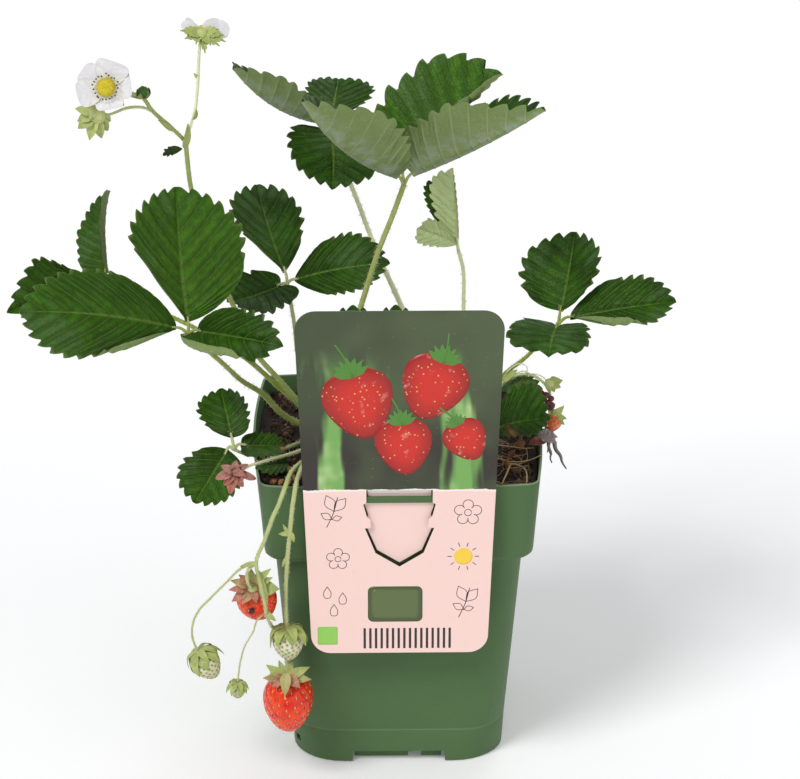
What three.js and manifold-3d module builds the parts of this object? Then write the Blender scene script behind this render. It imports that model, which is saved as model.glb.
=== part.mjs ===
// Potted strawberry plant: square plastic pot, soil, card label on a hook bar, crown,
// leaves, flowers and fruit.
// Millimetres, +Z up, the front faces -Y. The origin is on the pot's axis, on the ground.
import * as THREE from 'three';
import { mergeVertices } from 'three/addons/utils/BufferGeometryUtils.js';
import Module from 'manifold-3d';

const wasm = await Module();
wasm.setup();

// ---- driving dimensions ----
const seatGap = 0.3;

const pot = {
  rimZ: 150,
  wall: 1.2,
  skirtWall: 1.8,
  floorUnder: 6,
  floorTop: 7.6,
  footOuter: 41,
  footInner: 39.4,
  padRadius: 10,
  notchHalf: 20.5,
  notchTop: 5.2,
  drainRadius: 4,
  drainAt: 26,
  // level, half width at the corners, outward bow of each side, corner radius
  outer: [
    [0, 49.5, 0, 24],
    [17, 50.2, 0, 20],
    [60, 53.4, 0.3, 16],
    [107, 56.8, 0.8, 12],
    [109.2, 57.4, 0.9, 11.6],
    [109.8, 59.4, 1, 10.5],
    [111.4, 61.2, 1.2, 9.5],
    [114, 61.8, 1.4, 9],
    [132, 63, 2.3, 8],
    [150, 64.2, 3.3, 7],
  ],
  // levels at which the inner wall bends, from the floor up
  innerLevels: [17, 60, 107, 109.6, 110.6, 113, 132],
};

const soil = { plateauZ: 147.4, edgeZ: 143.5, tilt: 0.045, plateauScale: 0.62, clear: 0.9 };

const hookBar = {
  halfWidth: 18,
  low: 143.6,
  high: 146.7,
  front: -69.5,
  back: -68.2,
  post: 2,
  postBack: -66.2,
};

const label = {
  thickness: 0.4,
  back: -69.8,
  topZ: 237.7,
  bottomZ: 68,
  topHalf: 46.7,
  bottomHalf: 40.3,
  topCorner: 9.3,
  bottomCorner: 8.7,
  flare: 0.3,
  tongueBack: -67.4,
  tongueRootLow: 147.4,
  tongueRootHigh: 150.6,
  tongueRootHalf: 14.4,
};

const knobRadius = 10;
const leftKnob = new THREE.Vector3(-30, -6, soil.plateauZ + seatGap);
const rightKnob = new THREE.Vector3(27, 4, soil.plateauZ + seatGap);

const bladeThickness = 0.6;
const stalkletRadius = 0.7;
const stalkletGap = 0.45;
const dishThickness = 0.5;

// ---- colours ----
const finish = (color, roughness) => new THREE.MeshStandardMaterial({ color, roughness, metalness: 0 });
const finishes = {
  pot: finish(0x4b6744, 0.45),
  soil: finish(0x33241b, 0.95),
  label: finish(0xf2d3cc, 0.4),
  crown: finish(0x7d6a3c, 0.8),
  leaf: finish(0x2f5a1a, 0.5),
  youngLeaf: finish(0x8fb073, 0.55),
  stalk: finish(0x9aa55a, 0.55),
  petal: finish(0xf4f2f3, 0.5),
  flowerCentre: finish(0xe3c92c, 0.7),
  calyx: finish(0x93a94f, 0.6),
  berry: finish(0xd92b12, 0.25),
  orangeBerry: finish(0xe0602e, 0.35),
  greenFruit: finish(0xb9bf83, 0.5),
  withered: finish(0xa4585a, 0.7),
  dried: finish(0x7d5d48, 0.85),
};

const group = new THREE.Group();

// ---- solids ----
const vec = (p) => new THREE.Vector3(...p);

// A closed surface through equal rings of points, with a fan over the first and last ring.
function loft(rings) {
  const n = rings[0].length;
  const points = rings.flat();
  const centre = (ring) => ring.reduce((sum, p) => sum.add(p), new THREE.Vector3()).divideScalar(n);
  const faces = [];
  for (let i = 0; i < rings.length - 1; i += 1) {
    for (let k = 0; k < n; k += 1) {
      const a = i * n + k;
      const b = i * n + ((k + 1) % n);
      faces.push(a, b, b + n, a, b + n, a + n);
    }
  }
  const first = points.length;
  points.push(centre(rings[0]), centre(rings[rings.length - 1]));
  const lastRing = (rings.length - 1) * n;
  for (let k = 0; k < n; k += 1) {
    const next = (k + 1) % n;
    faces.push(first, next, k);
    faces.push(first + 1, lastRing + k, lastRing + next);
  }
  return indexed(points, faces);
}

function indexed(points, faces) {
  const geometry = new THREE.BufferGeometry().setFromPoints(points);
  geometry.setIndex(faces);
  return geometry;
}

// Turns a surface that came out inside out.
function outward(geometry) {
  const p = geometry.attributes.position;
  const index = geometry.index.array;
  const corner = (i) => new THREE.Vector3().fromBufferAttribute(p, index[i]);
  let volume = 0;
  for (let i = 0; i < index.length; i += 3) {
    volume += corner(i).dot(corner(i + 1).cross(corner(i + 2)));
  }
  if (volume < 0) {
    for (let i = 0; i < index.length; i += 3) {
      const swap = index[i];
      index[i] = index[i + 1];
      index[i + 1] = swap;
    }
  }
  return geometry;
}

function solid(geometry) {
  const bare = geometry.clone();
  bare.deleteAttribute('normal');
  bare.deleteAttribute('uv');
  const merged = outward(mergeVertices(bare, 1e-4));
  const mesh = new wasm.Mesh({
    numProp: 3,
    vertProperties: Float32Array.from(merged.attributes.position.array),
    triVerts: Uint32Array.from(merged.index.array),
  });
  return new wasm.Manifold(mesh);
}

function toGeometry(manifold) {
  const mesh = manifold.getMesh();
  const geometry = new THREE.BufferGeometry();
  geometry.setAttribute('position', new THREE.BufferAttribute(Float32Array.from(mesh.vertProperties), 3));
  geometry.setIndex(Array.from(mesh.triVerts));
  return geometry;
}

const joined = (solids) => solids.reduce((all, next) => all.add(next));

function addPiece(name, manifold, material) {
  const mesh = new THREE.Mesh(toGeometry(manifold), material);
  mesh.name = name;
  group.add(mesh);
}

function box(low, high) {
  const size = vec(high).sub(vec(low));
  const geometry = new THREE.BoxGeometry(size.x, size.y, size.z);
  geometry.translate((low[0] + high[0]) / 2, (low[1] + high[1]) / 2, (low[2] + high[2]) / 2);
  return solid(geometry);
}

function cylinder(radius, low, high, x, y, sides = 16) {
  const geometry = new THREE.CylinderGeometry(radius, radius, high - low, sides);
  geometry.rotateX(Math.PI / 2);
  geometry.translate(x, y, (low + high) / 2);
  return solid(geometry);
}

// A profile of radius and height turned round +Z.
function turned(profile, sides) {
  const points = profile.map(([radius, height]) => new THREE.Vector2(radius, height));
  return new THREE.LatheGeometry(points, sides).rotateX(Math.PI / 2);
}

// Stands a shape made along +Z on a point, along a direction.
function stand(geometry, at, direction) {
  const upright = new THREE.Vector3(0, 0, 1);
  const turn = new THREE.Quaternion().setFromUnitVectors(upright, vec(direction).normalize());
  geometry.applyQuaternion(turn);
  geometry.translate(...at);
  return solid(geometry);
}

// ---- pot ----
// One corner arc and one bowed side, four times round, anticlockwise from above.
function squareRing(half, bow, radius, z, scale = 1) {
  const arcSteps = 4;
  const sideSteps = 4;
  const ring = [];
  for (let side = 0; side < 4; side += 1) {
    const turn = side * Math.PI / 2;
    const place = (along, out) => {
      const x = out * Math.cos(turn) - along * Math.sin(turn);
      const y = out * Math.sin(turn) + along * Math.cos(turn);
      ring.push(new THREE.Vector3(x * scale, y * scale, z));
    };
    const straight = half - radius;
    for (let k = 1; k < sideSteps; k += 1) {
      const t = -1 + 2 * k / sideSteps;
      place(straight * t, half + bow * (1 - t * t));
    }
    for (let k = 0; k <= arcSteps; k += 1) {
      const angle = (k / arcSteps) * Math.PI / 2;
      place(straight + radius * Math.sin(angle), straight + radius * Math.cos(angle));
    }
  }
  return ring;
}

// The pot's section at a level, moved inwards by the wall.
function potSection(z, inset) {
  const rows = pot.outer;
  const i = Math.min(rows.length - 2, rows.filter((row) => row[0] <= z).length - 1);
  const t = (z - rows[i][0]) / (rows[i + 1][0] - rows[i][0]);
  const [half, bow, radius] = [1, 2, 3].map((k) => rows[i][k] + (rows[i + 1][k] - rows[i][k]) * t);
  return { half: half - inset, bow, radius: Math.max(1, radius - inset) };
}

function ringAt(z, inset, scale = 1, level = z) {
  const s = potSection(level, inset);
  return squareRing(s.half, s.bow, s.radius, z, scale);
}

function makePot() {
  const outside = pot.outer.map(([z]) => ringAt(z, 0));
  const insideLevels = [pot.rimZ, ...pot.innerLevels.toReversed(), pot.floorTop];
  const inside = insideLevels.map((z) => ringAt(z, pot.wall));
  const under = [ringAt(pot.floorUnder, pot.skirtWall), ringAt(0, pot.skirtWall)];
  let body = solid(loft([...under, ...outside, ...inside]));

  const footTop = pot.floorUnder + 0.2;
  const footOuter = cylinder(pot.footOuter, 0, footTop, 0, 0, 32);
  const footRing = footOuter.subtract(cylinder(pot.footInner, -1, footTop + 1, 0, 0, 32));
  const centrePad = cylinder(pot.padRadius, 0, footTop, 0, 0, 16);
  body = joined([body, footRing, centrePad]);

  for (let side = 0; side < 4; side += 1) {
    const turn = side * 90;
    const notch = box([-pot.notchHalf, -60, -1], [pot.notchHalf, -47, pot.notchTop]).rotate([0, 0, turn]);
    const footGap = box([5, -45, -1], [10, -36, pot.notchTop]).rotate([0, 0, turn]);
    const drain = cylinder(pot.drainRadius, 4, 9, pot.drainAt, -pot.drainAt, 12).rotate([0, 0, turn]);
    body = body.subtract(notch).subtract(footGap).subtract(drain);
    if (side % 2 === 1) {
      body = body.subtract(box([-2.2, -66, 4.2], [2.2, -50, 8.4]).rotate([0, 0, turn + 45]));
    }
  }

  const { halfWidth, low, high, front, back, post, postBack } = hookBar;
  const bar = box([-halfWidth, front, low], [halfWidth, back, high]);
  const leftPost = box([-halfWidth, back - 0.2, low], [-halfWidth + post, postBack, high]);
  const rightPost = box([halfWidth - post, back - 0.2, low], [halfWidth, postBack, high]);
  return joined([body, bar, leftPost, rightPost]);
}

// ---- soil ----
function makeSoil() {
  const clear = pot.wall + soil.clear;
  const wallLevels = [pot.floorTop + seatGap, ...pot.innerLevels];
  const rings = wallLevels.map((z) => ringAt(z, clear));
  for (const scale of [1, 0.87, 0.74, soil.plateauScale, 0.3]) {
    const rise = Math.min(1, (1 - scale) / (1 - soil.plateauScale));
    const ring = ringAt(soil.edgeZ, clear, scale);
    for (const p of ring) {
      const edge = soil.edgeZ - soil.tilt * p.y / scale;
      p.z = edge + (soil.plateauZ - edge) * rise;
    }
    rings.push(ring);
  }
  return solid(loft(rings));
}

// ---- label ----
function plate(outline, back, thickness) {
  const settings = { depth: thickness, bevelEnabled: false, curveSegments: 6 };
  const geometry = new THREE.ExtrudeGeometry(outline, settings);
  geometry.rotateX(Math.PI / 2);
  geometry.translate(0, back, 0);
  return solid(geometry);
}

function mirrored(half) {
  const right = half.map(([x, z]) => new THREE.Vector2(x, z));
  const left = half.map(([x, z]) => new THREE.Vector2(-x, z)).reverse();
  return new THREE.Shape([...right, ...left]);
}

function makeLabel() {
  const { topZ, bottomZ, topHalf, bottomHalf, topCorner, bottomCorner, flare } = label;
  const card = new THREE.Shape();
  card.moveTo(-bottomHalf + bottomCorner, bottomZ);
  card.lineTo(bottomHalf - bottomCorner, bottomZ);
  card.quadraticCurveTo(bottomHalf, bottomZ, bottomHalf + flare, bottomZ + bottomCorner);
  card.lineTo(topHalf - flare, topZ - topCorner);
  card.quadraticCurveTo(topHalf, topZ, topHalf - topCorner, topZ);
  card.lineTo(-topHalf + topCorner, topZ);
  card.quadraticCurveTo(-topHalf, topZ, -topHalf + flare, topZ - topCorner);
  card.lineTo(-bottomHalf - flare, bottomZ + bottomCorner);
  card.quadraticCurveTo(-bottomHalf, bottomZ, -bottomHalf + bottomCorner, bottomZ);

  // The die-cut window, from the tongue's root down to the tip, right half.
  const window = [
    [0, 111.9], [10.9, 118.8], [15.7, 131.3], [13.1, 131.6],
    [13.1, 135.6], [14.8, 137.1], [16.4, 143.3], [15, 144], [15, 150.4], [0, 150.4],
  ];
  const tongue = [
    [0, 113], [10.2, 119.4], [14.9, 131], [14.9, 135],
    [14.2, 137.3], [16, 143], [14.4, 143.6], [14.4, 147.6],
  ];
  const sheet = plate(card, label.back, label.thickness);
  const opening = plate(mirrored(window), label.back + 2, 6);
  const flap = plate(mirrored(tongue), label.tongueBack, label.thickness);

  const slant = new THREE.Shape([
    new THREE.Vector2(label.tongueBack, label.tongueRootLow),
    new THREE.Vector2(label.tongueBack - label.thickness, label.tongueRootLow),
    new THREE.Vector2(label.back - label.thickness, label.tongueRootHigh),
    new THREE.Vector2(label.back, label.tongueRootHigh + 0.2),
  ]);
  const settings = { depth: 2 * label.tongueRootHalf, bevelEnabled: false };
  const rootGeometry = new THREE.ExtrudeGeometry(slant, settings);
  rootGeometry.applyMatrix4(new THREE.Matrix4().makeBasis(
    new THREE.Vector3(0, 1, 0),
    new THREE.Vector3(0, 0, 1),
    new THREE.Vector3(1, 0, 0),
  ));
  rootGeometry.translate(-label.tongueRootHalf, 0, 0);
  return joined([sheet.subtract(opening), flap, solid(rootGeometry)]);
}

// ---- crown ----
function makeCrown() {
  const dome = [[0, 0], [10, 0], [9.4, 3.6], [7.2, 7], [4, 9.2], [0, 10]];
  const knobs = [leftKnob, rightKnob].map((centre) => stand(turned(dome, 14), centre.toArray(), [0, 0, 1]));
  const across = rightKnob.clone().sub(leftKnob);
  const [ridgeWidth, ridgeHeight] = [11, 4.4];
  const ridge = new THREE.BoxGeometry(across.length(), ridgeWidth, ridgeHeight, 3, 1, 1);
  ridge.rotateZ(Math.atan2(across.y, across.x));
  const middle = leftKnob.clone().add(rightKnob).divideScalar(2);
  ridge.translate(middle.x, middle.y, middle.z + ridgeHeight / 2);
  return joined([...knobs, solid(ridge)]);
}

// ---- stalks ----
function tube(points, radius, sides = 5) {
  const path = new THREE.CatmullRomCurve3(points.map(vec), false, 'centripetal');
  const section = new THREE.Shape();
  for (let k = 0; k < sides; k += 1) {
    const angle = (k / sides) * 2 * Math.PI;
    const move = k === 0 ? 'moveTo' : 'lineTo';
    section[move](radius * Math.cos(angle), radius * Math.sin(angle));
  }
  const steps = Math.ceil(1.5 * points.length);
  return solid(new THREE.ExtrudeGeometry(section, { steps, bevelEnabled: false, extrudePath: path }));
}

// A route from a crown knob, square to it at the start.
function fromKnob(knob, direction, points) {
  const out = vec(direction).normalize();
  const start = out.clone().multiplyScalar(knobRadius + 0.5).add(knob);
  const near = out.clone().multiplyScalar(knobRadius + 4).add(knob);
  return [start.toArray(), near.toArray(), ...points];
}

// ---- leaf blades ----
function bladeFrame({ base, tip, face }) {
  const along = vec(tip).sub(vec(base)).normalize();
  const up = vec(face).addScaledVector(along, -vec(face).dot(along)).normalize();
  const side = new THREE.Vector3().crossVectors(up, along);
  return { along, up, side };
}

// A blade arched along its midrib and folded up to each side of it. Each half outline is given by its
// width, by how it swells from the base and narrows to the tip, and by how far it bulges back.
function blade(leaflet) {
  const { base, tip, fold = 14, arch = 2, left, right } = leaflet;
  const { up, side } = bladeFrame(leaflet);
  const rise = THREE.MathUtils.degToRad(fold);
  const rows = 7;
  const across = [-1, -0.5, 0, 0.5, 1];
  const points = [];
  for (let i = 0; i <= rows; i += 1) {
    const u = i / rows;
    const row = across.map((v) => {
      const [width, swell, narrow, lobe] = v < 0 ? left : right;
      const widest = swell / (swell + narrow);
      const peak = widest ** swell * (1 - widest) ** narrow;
      const half = Math.max(0.8, width * u ** swell * (1 - u) ** narrow / peak);
      const along = u - Math.abs(v) * lobe * 4 * u * (1 - u) ** 3;
      return vec(base).lerp(vec(tip), along)
        .addScaledVector(up, arch * 4 * along * (1 - along))
        .addScaledVector(side, half * v * Math.cos(rise))
        .addScaledVector(up, half * Math.abs(v) * Math.sin(rise));
    });
    points.push(...row, ...row.map((top) => top.clone().addScaledVector(up, -bladeThickness)));
  }
  const n = across.length;
  const quads = [];
  for (let i = 0; i < rows; i += 1) {
    const a = i * 2 * n;
    const b = a + 2 * n;
    for (let k = 0; k < n - 1; k += 1) {
      quads.push([a + k, a + k + 1, b + k + 1, b + k]);
      quads.push([a + n + k + 1, a + n + k, b + n + k, b + n + k + 1]);
    }
    quads.push([a + n, a, b, b + n]);
    quads.push([a + n - 1, a + 2 * n - 1, b + 2 * n - 1, b + n - 1]);
  }
  const end = rows * 2 * n;
  for (let k = 0; k < n - 1; k += 1) {
    quads.push([k + 1, k, n + k, n + k + 1]);
    quads.push([end + k, end + k + 1, end + n + k + 1, end + n + k]);
  }
  return solid(indexed(points, quads.flatMap(([a, b, c, d]) => [a, b, c, a, c, d])));
}

// The short stalk that carries one leaflet, from the leaf's fork to just short of the blade.
function stalklet(fork, leaflet) {
  const { along } = bladeFrame(leaflet);
  const root = vec(leaflet.base).addScaledVector(along, -1.6);
  const end = vec(leaflet.base).addScaledVector(along, -stalkletGap);
  return tube([fork, root.toArray(), end.toArray()], stalkletRadius);
}

function addLeaf(name, { knob, direction, route, radius, leaflets, material = finishes.leaf }) {
  const fork = route[route.length - 1];
  const stalk = tube(fromKnob(knob, direction, route), radius);
  const stalklets = Object.values(leaflets).map((leaflet) => stalklet(fork, leaflet));
  addPiece(`${name}_stalk`, joined([stalk, ...stalklets]), finishes.stalk);
  for (const [place, leaflet] of Object.entries(leaflets)) {
    addPiece(`${name}_${place}`, blade(leaflet), material);
  }
}

// ---- flowers and fruit ----
// A thin dish with lobes round its edge, made along +Z, as a star, a calyx or a ring of petals.
function dish({ radius, lobes, depth, cup, thickness = dishThickness, power = 1, turn = 0 }) {
  const around = lobes * 4;
  const neck = 0.16;
  const surface = (share, drop) => {
    const ring = [];
    for (let k = 0; k < around; k += 1) {
      const angle = (k / around) * 2 * Math.PI;
      const notch = Math.abs(Math.sin(angle * lobes / 2)) ** power;
      const reach = radius * (neck + (1 - neck) * share * (1 - depth * notch));
      const z = cup * share * share - drop;
      const x = reach * Math.cos(angle + turn);
      const y = reach * Math.sin(angle + turn);
      ring.push(new THREE.Vector3(x, y, z));
    }
    return ring;
  };
  const shares = [0, 0.5, 1];
  const lower = shares.map((share) => surface(share, thickness));
  const upper = shares.toReversed().map((share) => surface(share, 0));
  return loft([...lower, ...upper]);
}

// A berry made along -Z from its shoulder at the origin.
function berryShape(radius, length, sides = 12) {
  const outline = [
    [0, 0], [0.55, 0.02], [0.9, 0.14], [1, 0.34],
    [0.9, 0.58], [0.62, 0.82], [0.3, 0.96], [0, 1],
  ];
  return turned(outline.map(([across, down]) => [across * radius, -down * length]), sides);
}

// Moves a point along a direction.
function beyond(point, direction, distance) {
  return vec(point).addScaledVector(vec(direction).normalize(), distance).toArray();
}

const away = (direction) => direction.map((d) => -d);

// ======== the plant ========
addPiece('pot', makePot(), finishes.pot);
addPiece('potting_soil', makeSoil(), finishes.soil);
addPiece('plant_label', makeLabel(), finishes.label);
addPiece('crown', makeCrown(), finishes.crown);

addLeaf('large_left_leaf', {
  knob: leftKnob,
  direction: [-0.81, -0.26, 0.5],
  route: [
    [-52, -13, 162], [-63, -20, 177], [-72, -26, 186],
    [-80, -30, 196], [-89, -35, 207], [-95, -38, 214],
  ],
  radius: 1.1,
  leaflets: {
    centre: {
      base: [-95, -36, 219], tip: [-99.9, -10.4, 274.7], face: [0.51, -0.76, 0.4],
      fold: 14, arch: -1.6, left: [31.2, 0.82, 0.62, 0.11], right: [30.6, 0.87, 0.55, -0.3],
    },
    left: {
      base: [-100, -38, 217], tip: [-168.3, -61.8, 235.3], face: [0.4, -0.67, 0.62],
      fold: 12, arch: 6.8, left: [20.6, 0.62, 0.64, -0.07], right: [24, 0.86, 0.52, -0.18],
    },
    right: {
      base: [-91, -39, 216], tip: [-52.3, -72.8, 222.7], face: [-0.56, -0.52, 0.64],
      fold: 24, arch: 1.8, left: [14.7, 0.98, 0.47, 0.5], right: [13.3, 0.83, 0.51, 0.21],
    },
  },
});
addLeaf('far_left_leaf', {
  knob: leftKnob,
  direction: [-0.74, 0.3, 0.61],
  route: [[-47, 2, 162], [-54, 4, 168], [-69, 6, 182], [-96, 8, 199], [-119, 9, 210], [-136, 10, 219]],
  radius: 1,
  leaflets: {
    left: {
      base: [-140, 9, 220], tip: [-176.7, -28.9, 221.7], face: [0.56, -0.51, 0.65],
      fold: 23, arch: 4.7, left: [19.4, 0.82, 0.77, -0.3], right: [18.3, 0.67, 0.69, -0.04],
    },
    upper: {
      base: [-135, 13, 224], tip: [-134.3, 38.3, 254.9], face: [-0.82, -0.43, 0.37],
      fold: 19, arch: 2.4, left: [16.1, 0.57, 0.53, 0.1], right: [16.1, 0.41, 0.58, 0.14],
    },
    right: {
      base: [-135, 5, 217], tip: [-126, -22, 201], face: [-0.2, -0.5, 0.84],
      fold: 12, arch: 2, left: [14, 0.75, 0.5, 0], right: [14, 0.75, 0.5, 0],
    },
  },
});
addLeaf('middle_left_leaf', {
  knob: leftKnob,
  direction: [-0.35, 0.53, 0.78],
  route: [[-46, 17, 178], [-48, 22, 194], [-51, 25, 213]],
  radius: 1,
  leaflets: {
    upper: {
      base: [-52, 28, 218], tip: [-65.2, 56.5, 251.1], face: [0.43, -0.59, 0.68],
      fold: 10, arch: -1.4, left: [18.7, 0.83, 0.54, -0.09], right: [21.3, 0.89, 0.48, -0.28],
    },
    right: {
      base: [-48, 25, 215], tip: [-3.6, 12.3, 228.4], face: [-0.38, -0.71, 0.59],
      fold: 18, arch: 3.9, left: [15.7, 0.78, 0.55, -0.12], right: [16.3, 0.87, 0.55, -0.07],
    },
    left: {
      base: [-54, 22, 214], tip: [-78.1, -0.3, 215], face: [0.32, -0.31, 0.9],
      fold: 13, arch: -1.9, left: [14.5, 0.98, 0.46, 0.5], right: [16.4, 0.86, 0.5, 0.5],
    },
  },
});
addLeaf('tall_leaf', {
  knob: leftKnob,
  direction: [0.14, 0, 0.99],
  route: [[-24, -6, 190], [-17, -6, 213], [-9, -6, 240], [-1, -7, 262], [3, -8, 274]],
  radius: 1.2,
  leaflets: {
    left: {
      base: [0, -9, 279], tip: [-42, -50.3, 329.3], face: [0.52, 0.4, 0.76],
      fold: 38, arch: -5.4, left: [30.6, 0.35, 0.77, 0.1], right: [33.3, 0.61, 0.74, -0.3],
    },
    right: {
      base: [7, -9, 280], tip: [64.3, -42.5, 322.1], face: [-0.37, 0.41, 0.83],
      fold: 45, arch: -1.8, left: [30.6, 0.41, 0.79, -0.3], right: [27.2, 0.44, 0.72, -0.21],
    },
    back: {
      base: [5, 4, 281], tip: [47.7, 14.9, 319.4], face: [-0.56, -0.38, 0.73],
      fold: 30, arch: 3.2, left: [27.6, 0.54, 0.5, 0], right: [31.3, 0.35, 0.43, 0.5],
    },
  },
});
addLeaf('back_tall_leaf', {
  knob: rightKnob,
  direction: [-0.42, 0.3, 0.85],
  route: [[13, 14, 176], [3, 24, 200], [-9, 32, 226], [-21, 36, 258], [-28, 36, 275], [-32, 35, 286]],
  radius: 1,
  leaflets: {
    left: {
      base: [-36, 36, 290], tip: [-73.5, 4, 326.5], face: [0.45, 0.39, 0.8],
      fold: 29, arch: -4.4, left: [23, 0.36, 0.61, 0.4], right: [22, 0.56, 0.56, -0.03],
    },
    back: {
      base: [-30, 40, 290], tip: [-26.4, 67.1, 300.1], face: [0.02, -0.35, 0.94],
      fold: 10, arch: 0.3, left: [18.9, 0.75, 0.51, -0.02], right: [14.6, 0.69, 0.53, -0.01],
    },
    front: {
      base: [-30, 31, 287], tip: [-29.4, 8.7, 266.3], face: [0.22, -0.66, 0.72],
      fold: 13, arch: 3.9, left: [23.8, 0.47, 0.48, 0.32], right: [23.5, 0.63, 0.48, -0.03],
    },
  },
});
addLeaf('right_leaf', {
  knob: rightKnob,
  direction: [0.7, 0, 0.7],
  route: [[40, 4, 161], [49, 2, 175], [61, -7, 190], [69, -11, 202], [74, -12, 207]],
  radius: 1,
  leaflets: {
    upper: {
      base: [75, -8, 212], tip: [82, 12.4, 243.2], face: [-0.58, -0.61, 0.53],
      fold: 15, arch: -0.7, left: [22.3, 0.62, 0.55, -0.14], right: [24.7, 0.46, 0.55, -0.09],
    },
    right: {
      base: [79, -11, 210], tip: [126.6, -22.2, 222.4], face: [-0.33, -0.5, 0.8],
      fold: 19, arch: 1, left: [15.1, 0.94, 0.51, -0.3], right: [15.2, 0.75, 0.56, -0.02],
    },
    front: {
      base: [73, -16, 208], tip: [66.3, -46.1, 203.6], face: [-0.05, -0.13, 0.99],
      fold: 22, arch: 1.8, left: [22.1, 0.85, 0.52, 0.5], right: [19.2, 0.85, 0.46, 0.5],
    },
  },
});
addLeaf('low_left_leaf', {
  knob: leftKnob,
  direction: [-0.8, -0.55, 0.2],
  route: [[-46, -19, 151], [-53, -28, 152], [-63, -38, 154], [-70, -43, 156.5], [-75, -46, 160]],
  radius: 0.9,
  leaflets: {
    upper: {
      base: [-76, -44, 165], tip: [-81, -35.2, 185.9], face: [-0.02, -0.92, 0.38],
      fold: 19, arch: -1.1, left: [11.6, 0.62, 0.54, 0.24], right: [13.8, 0.81, 0.45, -0.01],
    },
    left: {
      base: [-78, -46, 160], tip: [-93.5, -54.1, 137], face: [0.02, -0.95, 0.32],
      fold: 14, arch: 2.4, left: [16, 0.62, 0.51, 0], right: [14.3, 0.44, 0.6, 0.05],
    },
    right: {
      base: [-71.8, -44, 161.5], tip: [-51.6, -39, 158.9], face: [0.24, -0.55, 0.8],
      fold: 12, arch: 0.5, left: [8.5, 0.61, 0.52, 0.45], right: [6.5, 0.64, 0.52, 0.27],
    },
  },
});
addLeaf('young_leaf', {
  knob: rightKnob,
  direction: [0.15, 0.12, 0.98],
  route: [[32, 8, 181], [31, 9, 206], [30, 11, 229], [28.5, 12, 234]],
  radius: 0.9,
  material: finishes.youngLeaf,
  leaflets: {
    blade: {
      base: [28, 12, 238], tip: [25.6, 8.8, 274.6], face: [-0.89, 0.45, -0.02],
      fold: 40, arch: -2.2, left: [21.4, 0.5, 0.57, 0.19], right: [20.3, 0.65, 0.52, 0],
    },
  },
});
addLeaf('low_right_leaf', {
  knob: rightKnob,
  direction: [0.55, -0.75, 0.35],
  route: [[38, -12, 154], [43, -17, 156]],
  radius: 0.9,
  leaflets: {
    blade: {
      base: [45, -20, 158.4], tip: [71.2, -30, 168.7], face: [-0.3, -0.5, 0.8],
      fold: 12, arch: 2, left: [10.5, 0.6, 0.42, 0], right: [19.2, 0.6, 0.38, 0],
    },
  },
});
addLeaf('hidden_leaf', {
  knob: rightKnob,
  direction: [-0.51, -0.54, 0.66],
  route: [[12, -12, 166], [-2, -22, 178], [-10, -28, 184]],
  radius: 0.9,
  leaflets: {
    blade: {
      base: [-12, -30, 188], tip: [-13, -26, 224], face: [0, -0.9, 0.4],
      fold: 10, arch: 2, left: [22, 0.75, 0.5, 0], right: [22, 0.75, 0.5, 0],
    },
  },
});

const smallBlade = blade({
  base: [-50, -40, 150.5], tip: [-65, -50, 153], face: [0.1, -0.6, 0.8],
  fold: 10, arch: 0.5, left: [6.5, 0.75, 0.5, 0], right: [6.5, 0.75, 0.5, 0],
});
const smallStalk = tube([[-45, -36, 147.9], [-47.5, -38, 149.6], [-52, -41.2, 150.6]], 0.6);
addPiece('small_leaf', joined([smallStalk, smallBlade]), finishes.leaf);

// ======== the flower truss ========
const trussNode = [-96, 2, 292];
const flowerRoute = fromKnob(leftKnob, [-0.62, -0.3, 0.74], [
  [-46, -10, 168], [-55, -9, 179], [-64, -9, 190], [-76, -8, 217],
  [-88, -3, 248], [-94, 0, 271], trussNode,
]);
const openFlowerRoute = [
  trussNode, [-103, -2, 301], [-110, -8, 310], [-114, -13, 318],
  [-118, -19, 322], [-123, -22.5, 324.5], [-127.6, -25.4, 326.6], [-128.8, -28.45, 327.9],
];
const spentFlowerRoute = [
  [-110, -8, 310], [-114, -14, 314], [-118, -18, 316], [-123, -22, 316], [-128.5, -25, 315.5],
];
const sideFlowerRoute = [
  trussNode, [-94, 2, 298], [-92, 2, 304], [-90, 3, 318], [-89.2, 3.4, 331], [-88.4, 3.75, 339.85],
];
const budRoute = [[-113.5, -13, 317.5], [-113.1, -14.5, 319.3], [-112.8, -15.6, 320.8]];
addPiece('flower_stalk', joined([
  tube(flowerRoute, 1.1),
  tube(openFlowerRoute, 0.7),
  tube(spentFlowerRoute, 0.6),
  tube(sideFlowerRoute, 0.6),
  tube(budRoute, 0.6),
]), finishes.stalk);

const openFlower = { at: [-129, -30, 328.5], facing: [-0.12, -0.9, 0.36] };
const openPetals = dish({ radius: 13, lobes: 5, depth: 0.14, cup: 2.6, power: 3 });
addPiece('open_flower_petals', stand(openPetals, openFlower.at, openFlower.facing), finishes.petal);
const centreDome = turned([[0, 0], [3.2, 0], [4.4, 2.2], [3.6, 3.8], [1.8, 4.7], [0, 5]], 14);
const centreAt = beyond(openFlower.at, openFlower.facing, seatGap);
addPiece('open_flower_centre', stand(centreDome, centreAt, openFlower.facing), finishes.flowerCentre);
const openCalyx = dish({ radius: 9, lobes: 10, depth: 0.5, cup: 0.1 });
const openCalyxAt = beyond(openFlower.at, openFlower.facing, -dishThickness - seatGap);
addPiece('open_flower_calyx', stand(openCalyx, openCalyxAt, openFlower.facing), finishes.calyx);

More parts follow.
